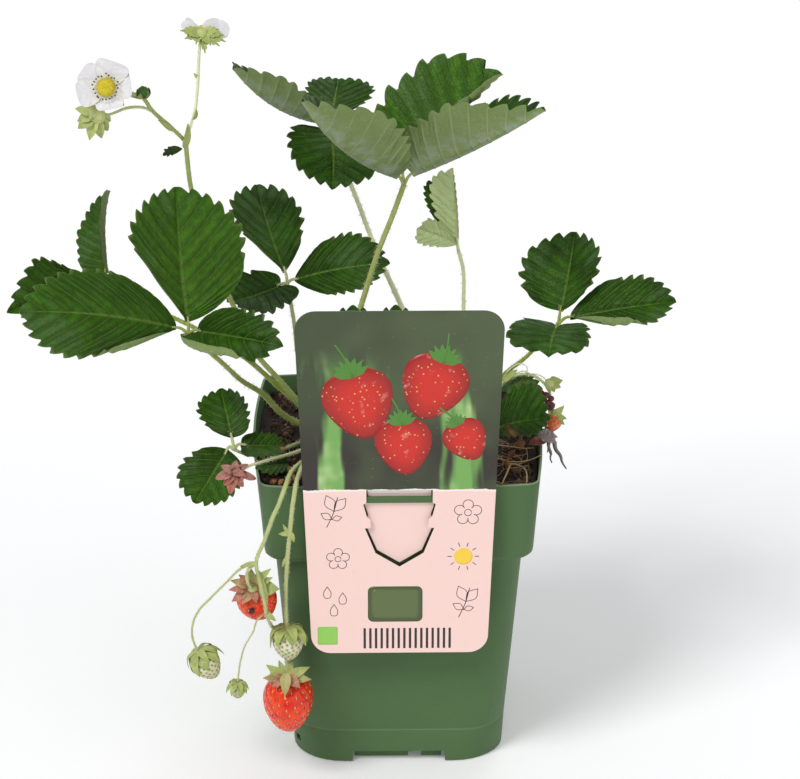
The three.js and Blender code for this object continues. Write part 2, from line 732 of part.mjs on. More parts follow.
const sideFlower = { at: [-88.2, 4, 341.5], facing: [0.1, 0.15, 1] };
const sidePetals = dish({ radius: 11, lobes: 5, depth: 0.2, cup: 3.5, power: 3 });
addPiece('side_flower_petals', stand(sidePetals, sideFlower.at, sideFlower.facing), finishes.petal);
const sideCalyx = dish({ radius: 9.5, lobes: 10, depth: 0.5, cup: -2, turn: 0.2 });
const sideCalyxAt = beyond(sideFlower.at, sideFlower.facing, -dishThickness - seatGap);
addPiece('side_flower_calyx', stand(sideCalyx, sideCalyxAt, sideFlower.facing), finishes.calyx);

const spentHead = stand(berryShape(5, 10), [-128.8, -25.3, 314.9], [0.45, 0.35, 0.85]);
addPiece('spent_flower', spentHead, finishes.calyx);
const bud = new THREE.SphereGeometry(2.6, 10, 8).translate(-112.3, -17.4, 323);
addPiece('flower_bud', solid(bud), finishes.calyx);

// ======== the fruit, hanging over the front left of the rim ========
const forkHigh = [-65, -79, 119];
const forkLow = [-61, -81, 94];
const longRoute = fromKnob(leftKnob, [-0.45, -0.88, 0.1], [
  [-43, -40, 152], [-50, -62, 153.5], [-51.5, -68, 151.5], [-54, -72, 146], [-58, -74, 137],
  [-61, -76, 129], forkHigh, [-63, -82, 109], [-61, -82, 97], forkLow,
]);
const leftFruitRoute = [
  forkHigh, [-71, -80, 117], [-79, -80, 109], [-86, -79, 101],
  [-91, -78, 95], [-93.5, -77, 90], [-95, -76, 82], [-92.5, -74, 71],
];
const smallFruitRoute = [
  forkLow, [-64, -81, 92], [-67, -80, 84], [-71, -79, 76], [-73, -78, 68], [-74.5, -77, 56.8],
];
const lowBerryRoute = [
  forkLow, [-59.5, -74, 86], [-57.5, -62, 76], [-55, -57.5, 68], [-52.5, -62, 61.5], [-51.5, -67.5, 58],
];
const highBerryRoute = [
  forkHigh, [-69, -80.5, 115], [-69, -80, 110], [-67.2, -77, 104.5], [-66.9, -75, 102.8],
];
addPiece('long_fruit_stalk', joined([
  tube(longRoute, 1.1),
  tube(leftFruitRoute, 0.6),
  tube(smallFruitRoute, 0.5),
  tube(lowBerryRoute, 0.6),
  tube(highBerryRoute, 0.7),
]), finishes.stalk);
const shortRoute = fromKnob(leftKnob, [-0.15, -0.93, 0.3], [
  [-39, -38, 155], [-45.5, -62, 154.5], [-46.8, -68, 152.3], [-48, -71, 146], [-49, -72, 137],
  [-50, -72, 127], [-51, -72, 116], [-52, -71, 94], [-51.6, -70, 81.5],
]);
addPiece('short_fruit_stalk', tube(shortRoute, 1), finishes.stalk);

function addFruit(name, { at, axis, radius, length, calyx, material = finishes.berry }) {
  if (calyx) {
    const calyxTop = beyond(at, axis, seatGap);
    addPiece(`${name}_calyx`, stand(dish({ ...calyx, lobes: 9 }), calyxTop, away(axis)), finishes.calyx);
  }
  const shoulder = beyond(at, axis, calyx ? dishThickness + 2 * seatGap : seatGap);
  addPiece(name, stand(berryShape(radius, length), shoulder, away(axis)), material);
}

addFruit('low_berry', {
  at: [-51.5, -68, 57.6],
  axis: [0, -0.08, -1],
  radius: 11.4,
  length: 27,
  calyx: { radius: 11.5, depth: 0.45, cup: 2.2 },
});
addFruit('high_berry', {
  at: [-66.7, -74.6, 102.3],
  axis: [0.15, 0.62, -0.78],
  radius: 9,
  length: 19,
  calyx: { radius: 10.5, depth: 0.45, cup: 1.5 },
});
addFruit('front_green_fruit', {
  at: [-51.5, -70, 81.2],
  axis: [0.06, -0.15, -1],
  radius: 7.4,
  length: 14.5,
  material: finishes.greenFruit,
});
addFruit('left_green_fruit', {
  at: [-92.2, -73.8, 70.6],
  axis: [0.5, 0, -0.8],
  radius: 6.9,
  length: 14,
  material: finishes.greenFruit,
});
addFruit('small_green_fruit', {
  at: [-74.5, -77, 56.5],
  axis: [0, 0, -1],
  radius: 4.3,
  length: 8,
  material: finishes.greenFruit,
});

const witheredRoute = fromKnob(leftKnob, [-0.62, -0.72, 0.32], [
  [-44, -34, 154.5], [-53.5, -48, 157.4], [-62, -58, 159], [-66.6, -62, 159.2], [-70, -64.6, 159.6],
]);
const witheredDish = dish({ radius: 9, lobes: 6, depth: 0.45, cup: -5, thickness: 1.2 });
const witheredHead = stand(witheredDish, [-69.8, -64.4, 159.8], [0.5, 0.35, 0.45]);
addPiece('withered_flower', joined([tube(witheredRoute, 0.7), witheredHead]), finishes.withered);

// ======== the fruit truss on the right ========
const rightTrussFork = [71, -14, 172];
const orangeRoute = fromKnob(rightKnob, [0.5, -0.35, 0.78], [
  [42, -5, 170], [49, -7, 176], [59, -10, 182], [64, -12, 181],
  [68, -13, 178], rightTrussFork, [73, -15, 166.5],
]);
const driedRoute = [rightTrussFork, [76.5, -15, 169], [79, -17, 161], [75.2, -19, 154.8]];
addPiece('right_fruit_stalk', joined([tube(orangeRoute, 0.6), tube(driedRoute, 0.5)]), finishes.stalk);
addFruit('orange_berry', {
  at: [73, -15, 166.2],
  axis: [-0.3, 0, -1],
  radius: 4.4,
  length: 9.5,
  material: finishes.orangeBerry,
});
const driedHead = stand(berryShape(4, 14, 8), [75.2, -19.2, 154.3], [-0.1, 0.25, 1]);
addPiece('dried_flower', driedHead, finishes.dried);

export default group;
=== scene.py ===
import math
import bpy
import numpy as np
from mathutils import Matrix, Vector


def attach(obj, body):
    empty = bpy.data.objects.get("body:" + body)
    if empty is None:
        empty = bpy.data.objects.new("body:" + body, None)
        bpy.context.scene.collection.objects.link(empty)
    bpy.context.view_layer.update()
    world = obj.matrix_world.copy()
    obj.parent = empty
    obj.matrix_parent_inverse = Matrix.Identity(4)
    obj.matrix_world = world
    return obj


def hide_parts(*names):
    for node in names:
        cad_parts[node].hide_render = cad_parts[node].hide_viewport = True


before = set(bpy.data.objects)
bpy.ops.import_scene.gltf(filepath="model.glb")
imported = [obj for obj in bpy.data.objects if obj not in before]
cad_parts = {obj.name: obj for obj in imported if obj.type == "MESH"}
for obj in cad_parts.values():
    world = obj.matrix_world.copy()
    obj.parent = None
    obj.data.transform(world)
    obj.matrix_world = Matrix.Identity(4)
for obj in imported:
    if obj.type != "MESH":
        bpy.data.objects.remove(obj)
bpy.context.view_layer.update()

rng = np.random.default_rng(20)


class Value:  # one shader output; operators on it add Math or Vector Math nodes
    def __init__(self, look, socket):
        self.look = look
        self.socket = socket

    def __add__(self, other):
        return self.look.math("ADD", self, other)

    def __radd__(self, other):
        return self.look.math("ADD", other, self)

    def __sub__(self, other):
        return self.look.math("SUBTRACT", self, other)

    def __rsub__(self, other):
        return self.look.math("SUBTRACT", other, self)

    def __mul__(self, other):
        return self.look.math("MULTIPLY", self, other)

    def __rmul__(self, other):
        return self.look.math("MULTIPLY", other, self)

    def abs(self):
        return self.look.math("ABSOLUTE", self)

    def fract(self):
        return self.look.math("FRACT", self)

    def min(self, other):
        return self.look.math("MINIMUM", self, other)

    def max(self, other):
        return self.look.math("MAXIMUM", self, other)

    def parts(self):  # x, y and z
        return [self.look.add("SeparateXYZ", {}, {0: self}, out) for out in range(3)]


class Look:  # one procedural material
    def __init__(self, name):
        self.material = bpy.data.materials.new(name)
        self.material.use_nodes = True
        self.tree = self.material.node_tree
        self.skin = self.tree.nodes["Principled BSDF"]
        self.place = self.add("TexCoord", {}, {}, "Object") * 1000.0  # millimetres

    def put(self, socket, value):
        if isinstance(value, Value):
            self.tree.links.new(value.socket, socket)
        elif isinstance(value, tuple) and socket.type == "RGBA":
            socket.default_value = (*value, 1.0)
        else:
            socket.default_value = value

    def add(self, kind, settings, links, out=0):  # any node: type, settings first, then values or links
        node = self.tree.nodes.new("ShaderNode" + kind)
        for key, value in settings.items():
            setattr(node, key, value)
        for key, value in links.items():
            self.put(node.inputs[key], value)
        return Value(self, node.outputs[out])

    def math(self, operation, *values):
        sockets = [v.socket.type for v in values if isinstance(v, Value)]
        wide = "VECTOR" in sockets or "RGBA" in sockets or any(isinstance(v, tuple) for v in values)
        if wide:
            values = [(v,) * 3 if isinstance(v, (int, float)) else v for v in values]
        return self.add("VectorMath" if wide else "Math", {"operation": operation}, dict(enumerate(values)))

    def mix(self, factor, a, b):
        return self.add("Mix", {"data_type": "RGBA"}, {0: factor, 6: a, 7: b}, 2)

    def smooth(self, value, low, high, start=0.0, end=1.0):  # eases from start to end between two values
        links = {0: value, 1: low, 2: high, 3: start, 4: end}
        return self.add("MapRange", {"interpolation_type": "SMOOTHSTEP"}, links)

    def noise(self, place, scale, detail=3.0, rough=0.55):
        return self.add("TexNoise", {}, {"Vector": place, "Scale": scale, "Detail": detail,
                                         "Roughness": rough})

    def cells(self, place, scale, feature="F1"):
        return self.add("TexVoronoi", {"feature": feature}, {"Vector": place, "Scale": scale}, "Distance")

    def distance(self, point, squash=(1.0, 1.0, 1.0)):  # from a point, each axis weighed on its own
        return self.add("VectorMath", {"operation": "LENGTH"}, {0: (self.place - point) * squash}, 1)

    def read(self, name):
        return self.add("Attribute", {"attribute_name": name}, {}, "Vector")

    def bump(self, height, distance, strength=1.0):  # height times distance in millimetres
        return self.add("Bump", {}, {"Height": height, "Distance": distance / 1000, "Strength": strength})

    def done(self, **inputs):  # underscores in the names stand for spaces
        for key, value in inputs.items():
            self.put(self.skin.inputs[key.replace("_", " ")], value)
        return self.material


def scaled(color, share):  # a colour made darker or lighter
    return tuple(share * c for c in color)


class Shell:  # gathers grids of points, in millimetres, into one mesh
    def __init__(self):
        self.points, self.faces, self.at, self.tint, self.count = [], [], [], [], 0

    # points has the shape (copies, rows, columns, 3) or (rows, columns, 3). Columns close round,
    # and a fan closes the first and the last row, so every copy is a closed skin.
    def add(self, points, at=None, tint=(0.0, 0.0, 0.0)):
        if points.ndim == 3:
            points = points[None]
            at = None if at is None else at[None]
        copies, n, m = points.shape[:3]
        at = np.zeros(points.shape) if at is None else at
        tint = np.broadcast_to(np.asarray(tint, float).reshape(-1, 3), (copies, 3))
        index = np.arange(n * m).reshape(n, m)
        index = np.concatenate([index, index[:, :1]], axis=1)
        corners = [index[:-1, :-1], index[:-1, 1:], index[1:, 1:], index[1:, :-1]]
        quads = np.stack(corners, axis=-1).reshape(-1, 4)
        first, last = index[0], index[-1]
        lows = np.stack([np.full(m, n * m), first[1:], first[:-1]], axis=-1)
        highs = np.stack([np.full(m, n * m + 1), last[:-1], last[1:]], axis=-1)
        tris = np.concatenate([lows, highs])
        ends = np.stack([points[:, 0].mean(axis=1), points[:, -1].mean(axis=1)], axis=1)
        endsAt = np.stack([at[:, 0].mean(axis=1), at[:, -1].mean(axis=1)], axis=1)
        verts = np.concatenate([points.reshape(copies, -1, 3), ends], axis=1)
        ats = np.concatenate([at.reshape(copies, -1, 3), endsAt], axis=1)
        a, b, c = (verts[0][quads[:, k]] for k in (0, 1, 2))
        a2, b2, c2 = (verts[0][quads[:, k]] for k in (0, 2, 3))
        volume = np.sum(a * np.cross(b, c)) + np.sum(a2 * np.cross(b2, c2))
        t = [verts[0][tris[:, k]] for k in range(3)]
        volume += np.sum(t[0] * np.cross(t[1], t[2]))
        if volume < 0:
            quads, tris = quads[:, ::-1], tris[:, ::-1]
        size = n * m + 2
        offsets = self.count + size * np.arange(copies)[:, None, None]
        self.faces += (quads[None] + offsets).reshape(-1, 4).tolist()
        self.faces += (tris[None] + offsets).reshape(-1, 3).tolist()
        self.points.append(verts.reshape(-1, 3))
        self.at.append(ats.reshape(-1, 3))
        self.tint.append(np.repeat(tint, size, axis=0))
        self.count += size * copies

    def make(self, name, material, slot, *nodes, sharp=None):
        name = name.replace(" ", "_")
        mesh = bpy.data.meshes.new(name)
        mesh.from_pydata((np.concatenate(self.points) / 1000).tolist(), [], self.faces)
        for key, values in (("at", self.at), ("tint", self.tint)):
            layer = mesh.attributes.new(key, "FLOAT_VECTOR", "POINT")
            layer.data.foreach_set("vector", np.concatenate(values).astype(np.float32).ravel())
        mesh.shade_smooth()
        if sharp:
            mesh.set_sharp_from_angle(angle=math.radians(sharp))
        mesh.materials.append(material)
        return place(bpy.data.objects.new(name, mesh), slot, nodes)


def place(piece, slot, nodes):
    bpy.context.scene.collection.objects.link(piece)
    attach(piece, "root")
    if nodes:
        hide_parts(*nodes)
    return piece


def unit(v):
    v = np.asarray(v, float)
    return v / np.maximum(np.linalg.norm(v, axis=-1, keepdims=True), 1e-9)


def ease(x, low, high):  # smooth step from 0 to 1
    t = np.clip((x - low) / (high - low), 0, 1)
    return t * t * (3 - 2 * t)


# A smooth path through points: each coordinate follows a Catmull-Rom cubic of the distance run.
def smoothPath(points, count):
    p = np.asarray(points, float)
    run = np.concatenate([[0], np.cumsum(np.linalg.norm(np.diff(p, axis=0), axis=1))])
    slope = np.gradient(p, run, axis=0)
    s = np.linspace(0, run[-1], count)
    i = np.clip(np.searchsorted(run, s, side="right") - 1, 0, len(p) - 2)
    h = (run[i + 1] - run[i])[:, None]
    t = ((s - run[i]) / h[:, 0])[:, None]
    a, b, c, d = 2 * t**3 - 3 * t**2 + 1, t**3 - 2 * t**2 + t, 3 * t**2 - 2 * t**3, t**3 - t**2
    return a * p[i] + b * h * slope[i] + c * p[i + 1] + d * h * slope[i + 1]


# Directions square to a path: side = path direction x a steady slant, other = side x direction.
def pathFrame(path):
    along = unit(np.gradient(path, axis=0))
    side = unit(np.cross(along, unit((0.31, 0.22, 0.93))))
    return along, side, np.cross(side, along)


# Two directions square to an axis.
def squareTo(axis):
    x = unit(np.cross(axis, (0.33, 0.9, 0.21)))
    return x, np.cross(axis, x)


# A stalk: at distance t along the path and angle a, path + radius(t) (cos a side + sin a other),
# with the radius rippled by shallow ridges.
def tube(shell, points, radius, sides=12, step=1.6, tint=(0, 0, 0), ends=(1, 1), ridges=0.06):
    length = np.linalg.norm(np.diff(np.asarray(points, float), axis=0), axis=1).sum()
    count = max(6, int(length / step))
    path = smoothPath(points, count)
    _, side, other = pathFrame(path)
    t = np.linspace(0, 1, count)
    thick = radius * (ends[0] + (ends[1] - ends[0]) * t)
    a = np.linspace(0, 2 * np.pi, sides, endpoint=False)
    ripple = 1 + ridges * np.cos(3 * a)[None] + 0.04 * np.sin(9 * t + 4 * radius)[:, None]
    ring = (thick[:, None] * ripple)[..., None]
    c, s = np.cos(a)[None, :, None], np.sin(a)[None, :, None]
    points = path[:, None] + ring * (c * side[:, None] + s * other[:, None])
    at = np.stack(np.broadcast_arrays(t[:, None], a[None] / (2 * np.pi), length), axis=-1)
    shell.add(points, at.astype(float), tint)
    return path


# Hairs: each is a thin three-sided spike from the stalk's skin. At the share t of its length its
# middle is start + length (t lean + 0.4 t squared bend).
def hairs(shell, path, radius, perMillimetre, length, thick):
    total = np.linalg.norm(np.diff(path, axis=0), axis=1).sum()
    count = int(total * perMillimetre)
    along, side, other = pathFrame(path)
    i = rng.integers(0, len(path), count)
    a = rng.uniform(0, 2 * np.pi, count)[:, None]
    out = np.cos(a) * side[i] + np.sin(a) * other[i]
    lean = unit(out + along[i] * rng.uniform(-0.5, 0.7, (count, 1)) + rng.normal(0, 0.15, (count, 3)))
    bend = along[i] * rng.uniform(-0.5, 0.5, (count, 1)) - np.array([0, 0, 0.25])
    size = (length * rng.uniform(0.5, 1.1, count))[:, None, None]
    t = np.array([0, 0.5, 1.0])[None, :, None]
    start = path[i] + out * radius * 0.9 + along[i] * rng.uniform(-0.8, 0.8, (count, 1))
    spine = start[:, None] + size * (lean[:, None] * t + bend[:, None] * 0.4 * t * t)
    x = unit(np.cross(lean, along[i] + 0.01))
    y = np.cross(lean, x)
    b = np.array([0, 2.1, 4.2])[None, :, None]  # three corners, about a third of a turn apart
    ring = np.cos(b) * x[:, None] + np.sin(b) * y[:, None]
    width = thick * np.array([1, 0.7, 0.15])
    shell.add(spine[:, :, None] + ring[:, None] * width[None, :, None, None])


potValues = {
    "color": (0.08, 0.15, 0.058),
    "roughness": 0.4,
    "scuffs": 0.5,
    "rimZ": 150.0,
    "wall": 1.2,
    "floorTop": 7.6,
    "floorUnder": 6.0,
    "skirtWall": 1.8,
    "grooveZ": 17.0,
    "grooveDepth": 0.3,
    "notchHalf": 21.6,
    "notchTop": 5.2,
    "footTop": 6.3,
    "cornerDrain": ((0, -58, 6.6), (4.2, 16, 3.4)),  # centre and size of the cut, before its turn
    "floorDrain": ((26, -26, 6.5), (7, 7, 6)),
    "hook": ((-18, -69.5, 143.6), (18, -68.2, 146.7)),
    "hookPost": 17.0,
}
potRows = np.array([  # level, half width, bow, corner radius
    [0, 49.5, 0, 24], [17, 50.2, 0, 20], [60, 53.4, 0.3, 16], [107, 56.8, 0.8, 12], [108.6, 57.2, 0.85, 11.8],
    [109.3, 57.7, 0.9, 11.5], [109.8, 59.2, 1, 10.5], [110.6, 60.6, 1.1, 9.9], [112, 61.5, 1.2, 9.3],
    [114, 61.8, 1.4, 9], [132, 63, 2.3, 8], [150, 64.2, 3.3, 7]])


# The pot's ring at each level. A side runs straight between the corner arcs, bowed out by
# bow (1 - t squared); a corner is a quarter circle. The middle columns stand plumb over the notch.
def squareRings(z, inset=0.0, scale=1.0, sideSteps=26, arcSteps=9):
    z = np.atleast_1d(np.asarray(z, float))
    half, bow, radius = (np.interp(z, potRows[:, 0], potRows[:, k])[:, None] for k in (1, 2, 3))
    half, radius = half - inset, np.maximum(1.0, radius - inset)
    straight = half - radius
    notch, beside = potValues["notchHalf"], 0.15  # the columns stand this far to each side of its edge
    plumb = np.linspace(-notch + beside, notch - beside, sideSteps - 8)
    middle = np.concatenate([[-notch - beside], plumb, [notch + beside]])
    outer = np.linspace(0, 1, 4)[1:-1]
    right = (notch + beside) + outer * (straight - notch - beside)
    along = np.concatenate([-right[:, ::-1], np.repeat(middle[None], len(z), axis=0), right], axis=1)
    out = half + bow * (1 - (along / straight) ** 2)
    a = np.linspace(0, np.pi / 2, arcSteps)[None]
    along = np.concatenate([along, straight + radius * np.sin(a)], axis=1)
    out = np.concatenate([out, straight + radius * np.cos(a)], axis=1)
    sides = [(out * c - along * s, out * s + along * c) for c, s in ((1, 0), (0, 1), (-1, 0), (0, -1))]
    x = np.concatenate([side[0] for side in sides], axis=1) * scale
    y = np.concatenate([side[1] for side in sides], axis=1) * scale
    onSide = np.arange(along.shape[1]) < along.shape[1] - arcSteps
    across = np.tile(np.where(onSide, np.abs(along), 99.0), 4)  # 99 marks a corner
    return np.stack([x, y, np.broadcast_to(z[:, None], x.shape)], axis=-1), across


# One skin: the floor's under side, the skirt's inner wall, the outside, the lip, the inside and the
# floor. The groove is a bell-shaped dip, and the feet's bottom edge is raised over each notch.
def makePot():
    v = potValues
    groove = v["grooveZ"] + np.array([-0.9, -0.35, 0, 0.35, 0.9])
    up = np.concatenate([[0, 0.5, 2, v["notchTop"], 9], groove,
                         [30, 45, 60, 75, 90, 102, 107, 108.3, 108.9, 109.3,
                         109.6, 109.8, 110.1, 110.6, 111.2, 112, 113, 114, 122, 132, 141, 149.0, 149.6]])
    outer, across = squareRings(up)
    dip = v["grooveDepth"] * np.exp(-((up - v["grooveZ"]) / 0.45) ** 2)
    outer[..., :2] *= (1 - dip / 50)[:, None, None]
    bend = ((0.15, 0.12), (0.4, 0), (0.85, 0), (1.1, 0.15))  # inset and drop of each ring of the lip
    lip = [squareRings(v["rimZ"], inset)[0] - [0, 0, drop] for inset, drop in bend]
    down = [149.4, 141, 132, 122, 113, 110.6, 109.6, 107, 90, 60, 30, 17, 8.2, v["floorTop"]]
    inner = squareRings(down, v["wall"])[0]
    floor = [squareRings(v["floorTop"], v["wall"], scale)[0] for scale in (0.85, 0.5, 0.1)]
    under = [squareRings(v["floorUnder"], v["skirtWall"], scale)[0] for scale in (0.1, 0.5, 0.9, 0.99)]
    skirt = squareRings([v["floorUnder"], 5.4, 0.3, 0], v["skirtWall"])[0]
    rings = np.concatenate(under + [skirt, outer] + lip + [inner] + floor)
    low = len(under)
    high = low + len(skirt) + 5
    notch = np.where(across[0] <= v["notchHalf"], v["notchTop"], 0.0)
    rings[low:high, :, 2] = np.maximum(rings[low:high, :, 2], notch)
    shell = Shell()
    shell.add(rings)
    return shell


# The foot ring, the hub and its disc: profiles turned round the axis at r (cos t, sin t), their tops
# inside the floor. Straight ribs stand behind the notches.
def makeFeet():
    shell = Shell()
    top, steps = potValues["footTop"], 96
    t = np.linspace(0, 2 * np.pi, steps, endpoint=False)
    profiles = (((39.4, 39.4, 41, 41), (top, 0, 0, top)), ((8.6, 8.6, 10, 10), (top, 0, 0, top)),
                ((8.7, 8.7), (0, 1.2)))
    for r, z in profiles:
        r, z = np.array(r)[:, None], np.array(z, float)[:, None]
        shell.add(np.stack([r * np.cos(t), r * np.sin(t), np.repeat(z, steps, axis=1)], axis=-1))
    for low, high in ((-21, 4.5), (10.5, 20)):
        for c, s in ((1, 0), (0, 1), (-1, 0), (0, -1)):
            across, deep = np.array([low, high, high, low]), np.array([-45.2, -45.2, -44, -44])
            ring = np.column_stack([across * c - deep * s, across * s + deep * c])
            shell.add(np.stack([np.column_stack([ring, np.full(4, level)]) for level in (0.4, 0.6, 6.2)]))
    return shell


# A bar with rounded long edges: at angle a, half (sign cos a, sign sin a) + edge (cos a, sin a) round
# its middle, drawn in slightly at both ends.
def roundedBar(shell, low, high):
    low, high = np.array(low, float), np.array(high, float)
    edge, steps = 0.35, 24
    a = np.linspace(0, 2 * np.pi, steps, endpoint=False) + np.pi / steps
    mid, half = (low + high) / 2, (high - low) / 2 - edge
    y = mid[1] + half[1] * np.sign(np.cos(a)) + edge * np.cos(a)
    z = mid[2] + half[2] * np.sign(np.sin(a)) + edge * np.sin(a)
    rings = []
    for x, shrink in ((low[0], edge), (low[0] + edge, 0), (high[0] - edge, 0), (high[0], edge)):
        draw = 1 - shrink * 0.5 / np.array([half[1] + edge, half[2] + edge])
        ring = [np.full(steps, x), mid[1] + (y - mid[1]) * draw[0], mid[2] + (z - mid[2]) * draw[1]]
        rings.append(np.stack(ring, axis=-1))
    shell.add(np.array(rings))


# Cuts boxes out of a piece. Each box is given by its centre, its size and its turn about Z.
def carve(piece, boxes):
    for centre, size, turn in boxes:
        bpy.ops.mesh.primitive_cube_add(size=1)
        cutter = bpy.context.object
        c, s = math.cos(math.radians(turn)), math.sin(math.radians(turn))
        corners = np.array([v.co for v in cutter.data.vertices]) * size + centre
        corners[:, :2] = corners[:, :2] @ np.array([[c, s], [-s, c]])
        cutter.data.vertices.foreach_set("co", (corners / 1000).astype(np.float32).ravel())
        step = piece.modifiers.new("cut", "BOOLEAN")
        step.operation, step.solver, step.object = "DIFFERENCE", "EXACT", cutter
        cut = bpy.data.meshes.new_from_object(piece.evaluated_get(bpy.context.evaluated_depsgraph_get()))
        piece.modifiers.remove(step)
        piece.data = cut
        bpy.data.objects.remove(cutter)


def potLook():
    v = potValues
    look = Look("pot plastic")
    cloud = look.noise(look.place, 0.02, 3.0)
    mould = look.noise(look.place, 1.6, 4.0)
    streak = look.noise(look.place * (3.0, 3.0, 0.12), 0.7, 4.0)
    scratch = look.smooth(streak, 0.62, 0.72) * look.smooth(cloud, 0.45, 0.65)
    dust = look.smooth(look.noise(look.place, 2.2, 2.0), 0.7, 0.78)
    base = look.mix(cloud, scaled(v["color"], 0.88), scaled(v["color"], 1.12))
    base = look.mix(scratch * 0.25 * v["scuffs"], base, (0.3, 0.38, 0.26))
    base = look.mix(dust * 0.5 * v["scuffs"], base, (0.36, 0.4, 0.3))
    level = look.place.parts()[2]
    # A lighter band over the top of the rim: painted highlight where the lip catches the light.
    base = look.mix(look.smooth(level, 149.3, 149.9) * 0.45, base, (0.34, 0.46, 0.3))
    # A lighter line along the groove: painted highlight on the groove's lip.
    base = look.mix(look.smooth((level - v["grooveZ"]).abs(), 0.1, 0.8, 0.35, 0.0), base, (0.2, 0.28, 0.17))
    rough = v["roughness"] + 0.14 * mould + 0.12 * scratch
    normal = look.bump(mould + 0.5 * look.noise(look.place, 6.0, 2.0), 0.05, 0.6)
    return look.done(Base_Color=base, Roughness=rough, Normal=normal, Specular_IOR_Level=0.18)


potMaterial = potLook()
pot = makePot().make("pot shell", potMaterial, "pot", "pot", sharp=32)
makeFeet().make("pot feet", potMaterial, "pot", sharp=32)
carve(pot, [(*potValues["cornerDrain"], turn) for turn in (128, 308)])
carve(pot, [(*potValues["floorDrain"], turn) for turn in (0, 90, 180, 270)])
hook = Shell()
hookLow, hookHigh = potValues["hook"]
roundedBar(hook, hookLow, hookHigh)
for x in (-potValues["hookPost"], potValues["hookPost"]):
    roundedBar(hook, (x - 1, -68.6, hookLow[2]), (x + 1, -65.4, hookHigh[2]))
hook.make("label hook", potMaterial, "pot", sharp=50)
print("pot")


leafValues = {
    "upper": (0.0165, 0.062, 0.0005),
    "vein": (0.13, 0.22, 0.03),
    "under": (0.205, 0.285, 0.095),
    "underVein": (0.36, 0.43, 0.22),
    "young": (0.74, 0.88, 0.42),
    "roughness": 0.36,
    "quilt": 1.0,
    "toothDepth": 0.46,
    "thickness": 0.24,
    "rowLean": 1.2,
    "spots": (  # middle of each brown spot and the squash of the distance to it
        ((53.0, -28.0, 160.7), (0.27, 0.05, 0.85)), ((-52.9, -41.0, 158.5), (0.45, 0.4, 0.6))),
}


# The edge of one half, as distance out and distance along: half width times u^p (1 - u)^q, scaled to a
# peak of one, at u - 4 lobe u (1 - u)^3 of the length, read at the share r of the curve's own run.
def halfEdge(r, half, p, q, lobe, length):
    u = (1 - np.cos(np.linspace(0, np.pi, 300))) / 2
    peak = (p / (p + q)) ** p * (q / (p + q)) ** q
    curve = np.stack([half * u**p * (1 - u) ** q / peak, (u - lobe * 4 * u * (1 - u) ** 3) * length], axis=-1)
    run = np.concatenate([[0], np.cumsum(np.linalg.norm(np.diff(curve, axis=0), axis=1))])
    return np.stack([np.interp(r * run[-1], run, curve[:, k]) for k in (0, 1)], axis=-1), run[-1]


